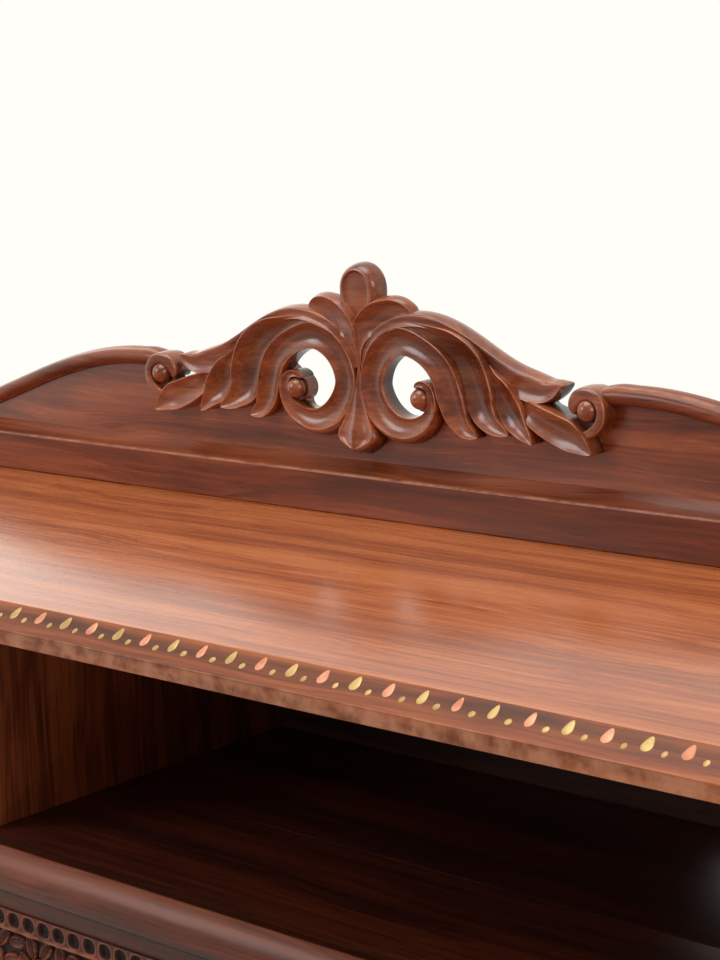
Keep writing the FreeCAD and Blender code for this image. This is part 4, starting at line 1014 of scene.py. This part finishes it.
def carved_relief(x, z, half_width, half_height):
    """Depth of the carving under the panel's face, with its worn rim and a painted shade that deepens with
    the
    depth: a border of arched pits inside a raised line, and in the field rings of a scrolling vine, leaves
    set in staggered rows whose heading swings as a sine of their place, and a rosette round the knob."""
    edge = np.minimum(half_width - np.abs(x), half_height - np.abs(z))
    upright = half_width - np.abs(x) < half_height - np.abs(z)
    run = np.where(upright, z, x) / PIT_PITCH
    aside = np.abs(run - np.floor(run) - 0.5) * PIT_PITCH / PIT_HALF[0]
    inward = np.abs(edge - PIT_MIDDLE) / PIT_HALF[1]
    pit = (aside ** PIT_POWER + inward ** PIT_POWER) ** (1 / PIT_POWER)
    border = -PIT_DEPTH * (1 - smooth(pit, 0.7, 1.0)) - BORDER_DROP * smooth(edge, 1, 3)
    bead = np.exp(-((edge - BEAD_PLACE) / BEAD_HALF) ** 4)
    field = smooth(edge, *FIELD_EDGE)
    scroll = np.abs(x) / VINE_LENGTH
    off = np.abs(np.hypot((scroll - np.floor(scroll) - 0.5) * VINE_LENGTH, z) - VINE_RADIUS)
    height = VINE_HEIGHT * np.sqrt(np.clip(1 - (off / VINE_HALF) ** 2, 0, 1))
    rim = np.zeros_like(x)
    for row, level in enumerate(np.linspace(ROW_MARGIN - half_height, half_height - ROW_MARGIN, LEAF_ROWS)):
        start = LEAF_START + LEAF_PITCH / 2 * (row % 2)
        for place in np.arange(start, half_width - LEAF_MARGIN, LEAF_PITCH):
            heading = LEAF_SWING * np.sin(place / SWING_LENGTH + ROW_TURN * row) + ROW_LEAN * (-1) ** row
            leaf, edge_line = carved_leaf(np.abs(x), z, (place, level), *LEAF_SIZE, heading)
            rim = np.where(leaf > height, edge_line, rim)
            height = np.maximum(height, leaf)
    radius = np.hypot(x, z)
    petal = np.abs(np.cos(ROSETTE_FOLDS * np.arctan2(z, x)))
    tip = ROSETTE_RADIUS + ROSETTE_PETAL * petal
    rosette = smooth(radius, ROSETTE_SEAT - 1, ROSETTE_SEAT + 1) * (1 - smooth(radius, tip, tip + 2))
    rosette = rosette * (0.5 + 0.5 * petal)
    cleared = np.maximum(height * smooth(radius, *ROSETTE_CLEAR), rosette)
    height = np.where(radius < ROSETTE_CLEAR[1], cleared, height)
    height = np.where(radius < ROSETTE_SEAT, 1.0, height)
    ground = -GROUND_DEPTH * (1 - height) * field
    depth = np.where(edge < BEAD_PLACE, border, ground) * (1 - bead)
    arch = hump(pit, *PIT_RIM) * (edge < BEAD_LIMITS[0])
    rim = np.clip(np.where(edge < BEAD_LIMITS[1], PIT_WORN * arch + bead, rim), 0, 1)
    # Painted shade: the deeper the ground and the pits, the darker.
    return depth, rim, np.clip(-depth / FULL_SHADE_DEPTH, 0, 1)


def make_carved_panels():
    """Front panels of the drawers: a grid over the panel's face, set back by the carving's depth, joined
    to a flat back by strips along the border."""
    for drawer in DRAWERS:
        low, high = node_box(f"drawer_{drawer}_carved_panel")
        middle = (low + high) / 2
        half = (high - low) / 2
        across, upward = (
            np.linspace(-size, size, int(2 * size / PANEL_STEP)) for size in (half[0], half[2])
        )
        z, x = np.meshgrid(upward, across, indexing="ij")
        rows, columns = x.shape
        depth, rim, shade = carved_relief(x, z, half[0], half[2])
        front = np.stack([x + middle[0], low[1] - depth, z + middle[2]], -1).reshape(-1, 3)
        index = np.arange(rows * columns).reshape(rows, columns)
        ring = np.concatenate([index[0, :-1], index[:-1, -1], index[-1, :0:-1], index[:0:-1, 0]])
        rear = front[ring] * (1, 0, 1) + (0, high[1], 0)
        count = len(front)
        around = np.arange(len(ring))
        ahead = np.roll(around, -1)
        strip = np.stack([ring, np.roll(ring, -1), ahead + count, around + count], 1)
        hub = front.mean(0) * (1, 0, 1) + (0, high[1], 0)
        fan = np.stack([np.full(len(ring), count + len(ring)), around + count, ahead + count], 1)
        points = np.concatenate([front, rear, hub[None]])
        spare = np.zeros(len(ring) + 1)
        part = shell(points, np.concatenate([quads(rows, columns), strip]), fan,
                     np.append(rim.ravel(), spare), np.append(shade.ravel(), spare))
        make_piece(f"carved_front_{drawer}", [part], carved_wood, f"drawer_{drawer}",
                   (f"drawer_{drawer}_carved_panel",))


def assign(names, material):
    """Give CAD nodes a material in every slot."""
    for name in names:
        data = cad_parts[name].data
        data.materials.clear()
        data.materials.append(material)


def make_carcass():
    """Boards of the carcass with soft edges, each in the place of its node, and the finish of the nodes that
    stay as they are."""
    corners = [f"{end}_{side}" for end in ("front", "rear") for side, sign in SIDES]
    upright = ["shelf_partition", "drawer_divider_left", "drawer_divider_right"]
    upright += [f"post_{corner}" for corner in corners] + [f"side_panel_{side}" for side, sign in SIDES]
    level = ["bottom_panel", "rear_apron", "shelf_front_rail", "shelf_rear_rail"]
    shelves = ["shelf_front_board", "shelf_rear_board"]
    finishes = (
        (upright, upright_wood, BOARD_ROUND), (level, level_wood, BOARD_ROUND),
        (shelves, shaded_shelf_wood, SHELF_ROUND),
    )
    for names, material, radius in finishes:
        for name in names:
            board = soft_board(*node_box(name), radius)
            make_piece(f"{name}_soft", [board], material, stands_for=(name,))
    assign(["front_apron"], level_wood)
    assign([f"side_rails_{side}" for side, sign in SIDES], depth_wood)
    assign(["upper_back_panel", "lower_back_panel"], back_board)
    assign(["pilasters"] + [f"foot_{corner}" for corner in corners], upright_wood)
    assign(["drawer_runners", "drawer_stops"], inner_wood)
    for drawer in DRAWERS:
        assign([f"drawer_{drawer}_front"], drawer_wood)
        assign([f"drawer_{drawer}_{board}" for board in ("sides", "back", "bottom")], inner_wood)
        assign([f"drawer_{drawer}_knob"], brass)


# Studio

def make_camera():
    """Camera at the photograph's place, turned by yaw, pitch and roll; the lens follows from the focal
    length in pixels over the picture's long side."""
    yaw, pitch, roll = np.radians((CAMERA_YAW, CAMERA_PITCH, CAMERA_ROLL))
    forward = np.array((-np.sin(yaw) * np.cos(pitch), np.cos(yaw) * np.cos(pitch), -np.sin(pitch)))
    right = np.array((np.cos(yaw), np.sin(yaw), 0))
    up = np.cross(right, forward)
    right, up = np.cos(roll) * right + np.sin(roll) * up, np.cos(roll) * up - np.sin(roll) * right
    data = bpy.data.cameras.new("photo_camera")
    data.lens = FOCAL_PIXELS / IMAGE_HEIGHT * data.sensor_width
    camera = add_object("photo_camera", data)
    turn = np.eye(4)
    turn[:3, :3] = np.stack([right, up, -forward], 1)
    turn[:3, 3] = CAMERA_SPOT_M
    camera.matrix_world = Matrix(turn.tolist())
    bpy.context.scene.camera = camera


def make_lamp(name, spot, size, watts):
    """Soft round lamp at a spot, turned towards the cabinet."""
    data = bpy.data.lights.new(name, "AREA")
    data.shape = "DISK"
    data.size = size
    data.energy = watts
    lamp = add_object(name, data)
    way = Vector(spot) - Vector(LAMP_AIM_M)
    lamp.matrix_world = Matrix.Translation(spot) @ way.to_track_quat("Z", "Y").to_matrix().to_4x4()


def make_studio():
    """Cream background, full for the camera and, in reflections, behind the cabinet; softer light for the
    rest; three soft lamps and a pale floor that fades out round the cabinet."""
    world = bpy.data.worlds.new("studio")
    bpy.context.scene.world = world
    world.use_nodes = True
    tree = world.node_tree
    tree.nodes.clear()
    rays = tree.nodes.new("ShaderNodeLightPath").outputs
    seen = calculate(tree, "ADD", rays["Is Camera Ray"], rays["Is Transmission Ray"], True)
    around = tree.nodes.new("ShaderNodeTexCoord").outputs["Generated"]
    way = add_node(tree, "ShaderNodeSeparateXYZ", {0: around}).outputs
    behind = calculate(tree, "MULTIPLY", between(tree, way["Y"], -0.35, 0.35), BEHIND_GAIN)
    leftward = between(tree, calculate(tree, "MULTIPLY", way["X"], -1.0), 0.55, 0.9)
    beside = calculate(tree, "MULTIPLY", leftward, LEFT_GAIN)
    reflected = calculate(tree, "ADD", calculate(tree, "ADD", behind, beside), REFLECTED_LEVEL)
    cream = tone(255, 254, 248)
    plain, glow, backdrop = (
        add_node(tree, "ShaderNodeBackground", {"Color": colour, "Strength": strength}).outputs[0]
        for colour, strength in (((1, 1, 1, 1), PLAIN_LEVEL), (cream, reflected), (cream, 1.0))
    )
    soft = add_node(tree, "ShaderNodeMixShader", {0: rays["Is Glossy Ray"], 1: plain, 2: glow}).outputs[0]
    mixed = add_node(tree, "ShaderNodeMixShader", {0: seen, 1: soft, 2: backdrop}).outputs[0]
    add_node(tree, "ShaderNodeOutputWorld", {"Surface": mixed})
    for lamp in LAMPS:
        make_lamp(*lamp)
    make_floor()


def make_floor():
    """Pale disc under the cabinet: rings of points about the origin, whose outer part turns see-through."""
    angle = np.linspace(0, 2 * np.pi, FLOOR_COLUMNS, endpoint=False)
    ring = np.linspace(FLOOR_HUB_M, FLOOR_RADIUS_M, FLOOR_RINGS)[:, None]
    points = np.stack([ring * np.cos(angle), ring * np.sin(angle), 0 * ring * angle], -1).reshape(-1, 3)
    faces = quads(FLOOR_RINGS, FLOOR_COLUMNS, wrap_columns=True).tolist() + [list(range(FLOOR_COLUMNS))]
    mesh = bpy.data.meshes.new("floor")
    mesh.from_pydata(points, [], faces)
    material, tree, shader, place = new_material("floor")
    far = add_node(tree, "ShaderNodeVectorMath", {0: place}, operation="LENGTH").outputs["Value"]
    grain = stretched_noise(tree, place, (3, 3, 3), 3)
    pale = blend(tree, grain, tone(238, 236, 230), tone(243, 241, 236))
    fading = between(tree, far, FLOOR_FADE[0] * FLOOR_RADIUS_M, FLOOR_FADE[1] * FLOOR_RADIUS_M)
    fade = calculate(tree, "SUBTRACT", 1.0, fading)
    feed(tree, shader, {"Base Color": pale, "Roughness": 0.8, "Alpha": fade})
    mesh.materials.append(material)
    floor = add_object("floor", mesh)


make_gallery()
make_base_moulding()
make_top()
make_nosing()
make_carved_panels()
make_carcass()
make_camera()
make_studio()
bpy.context.scene.view_settings.view_transform = "Standard"
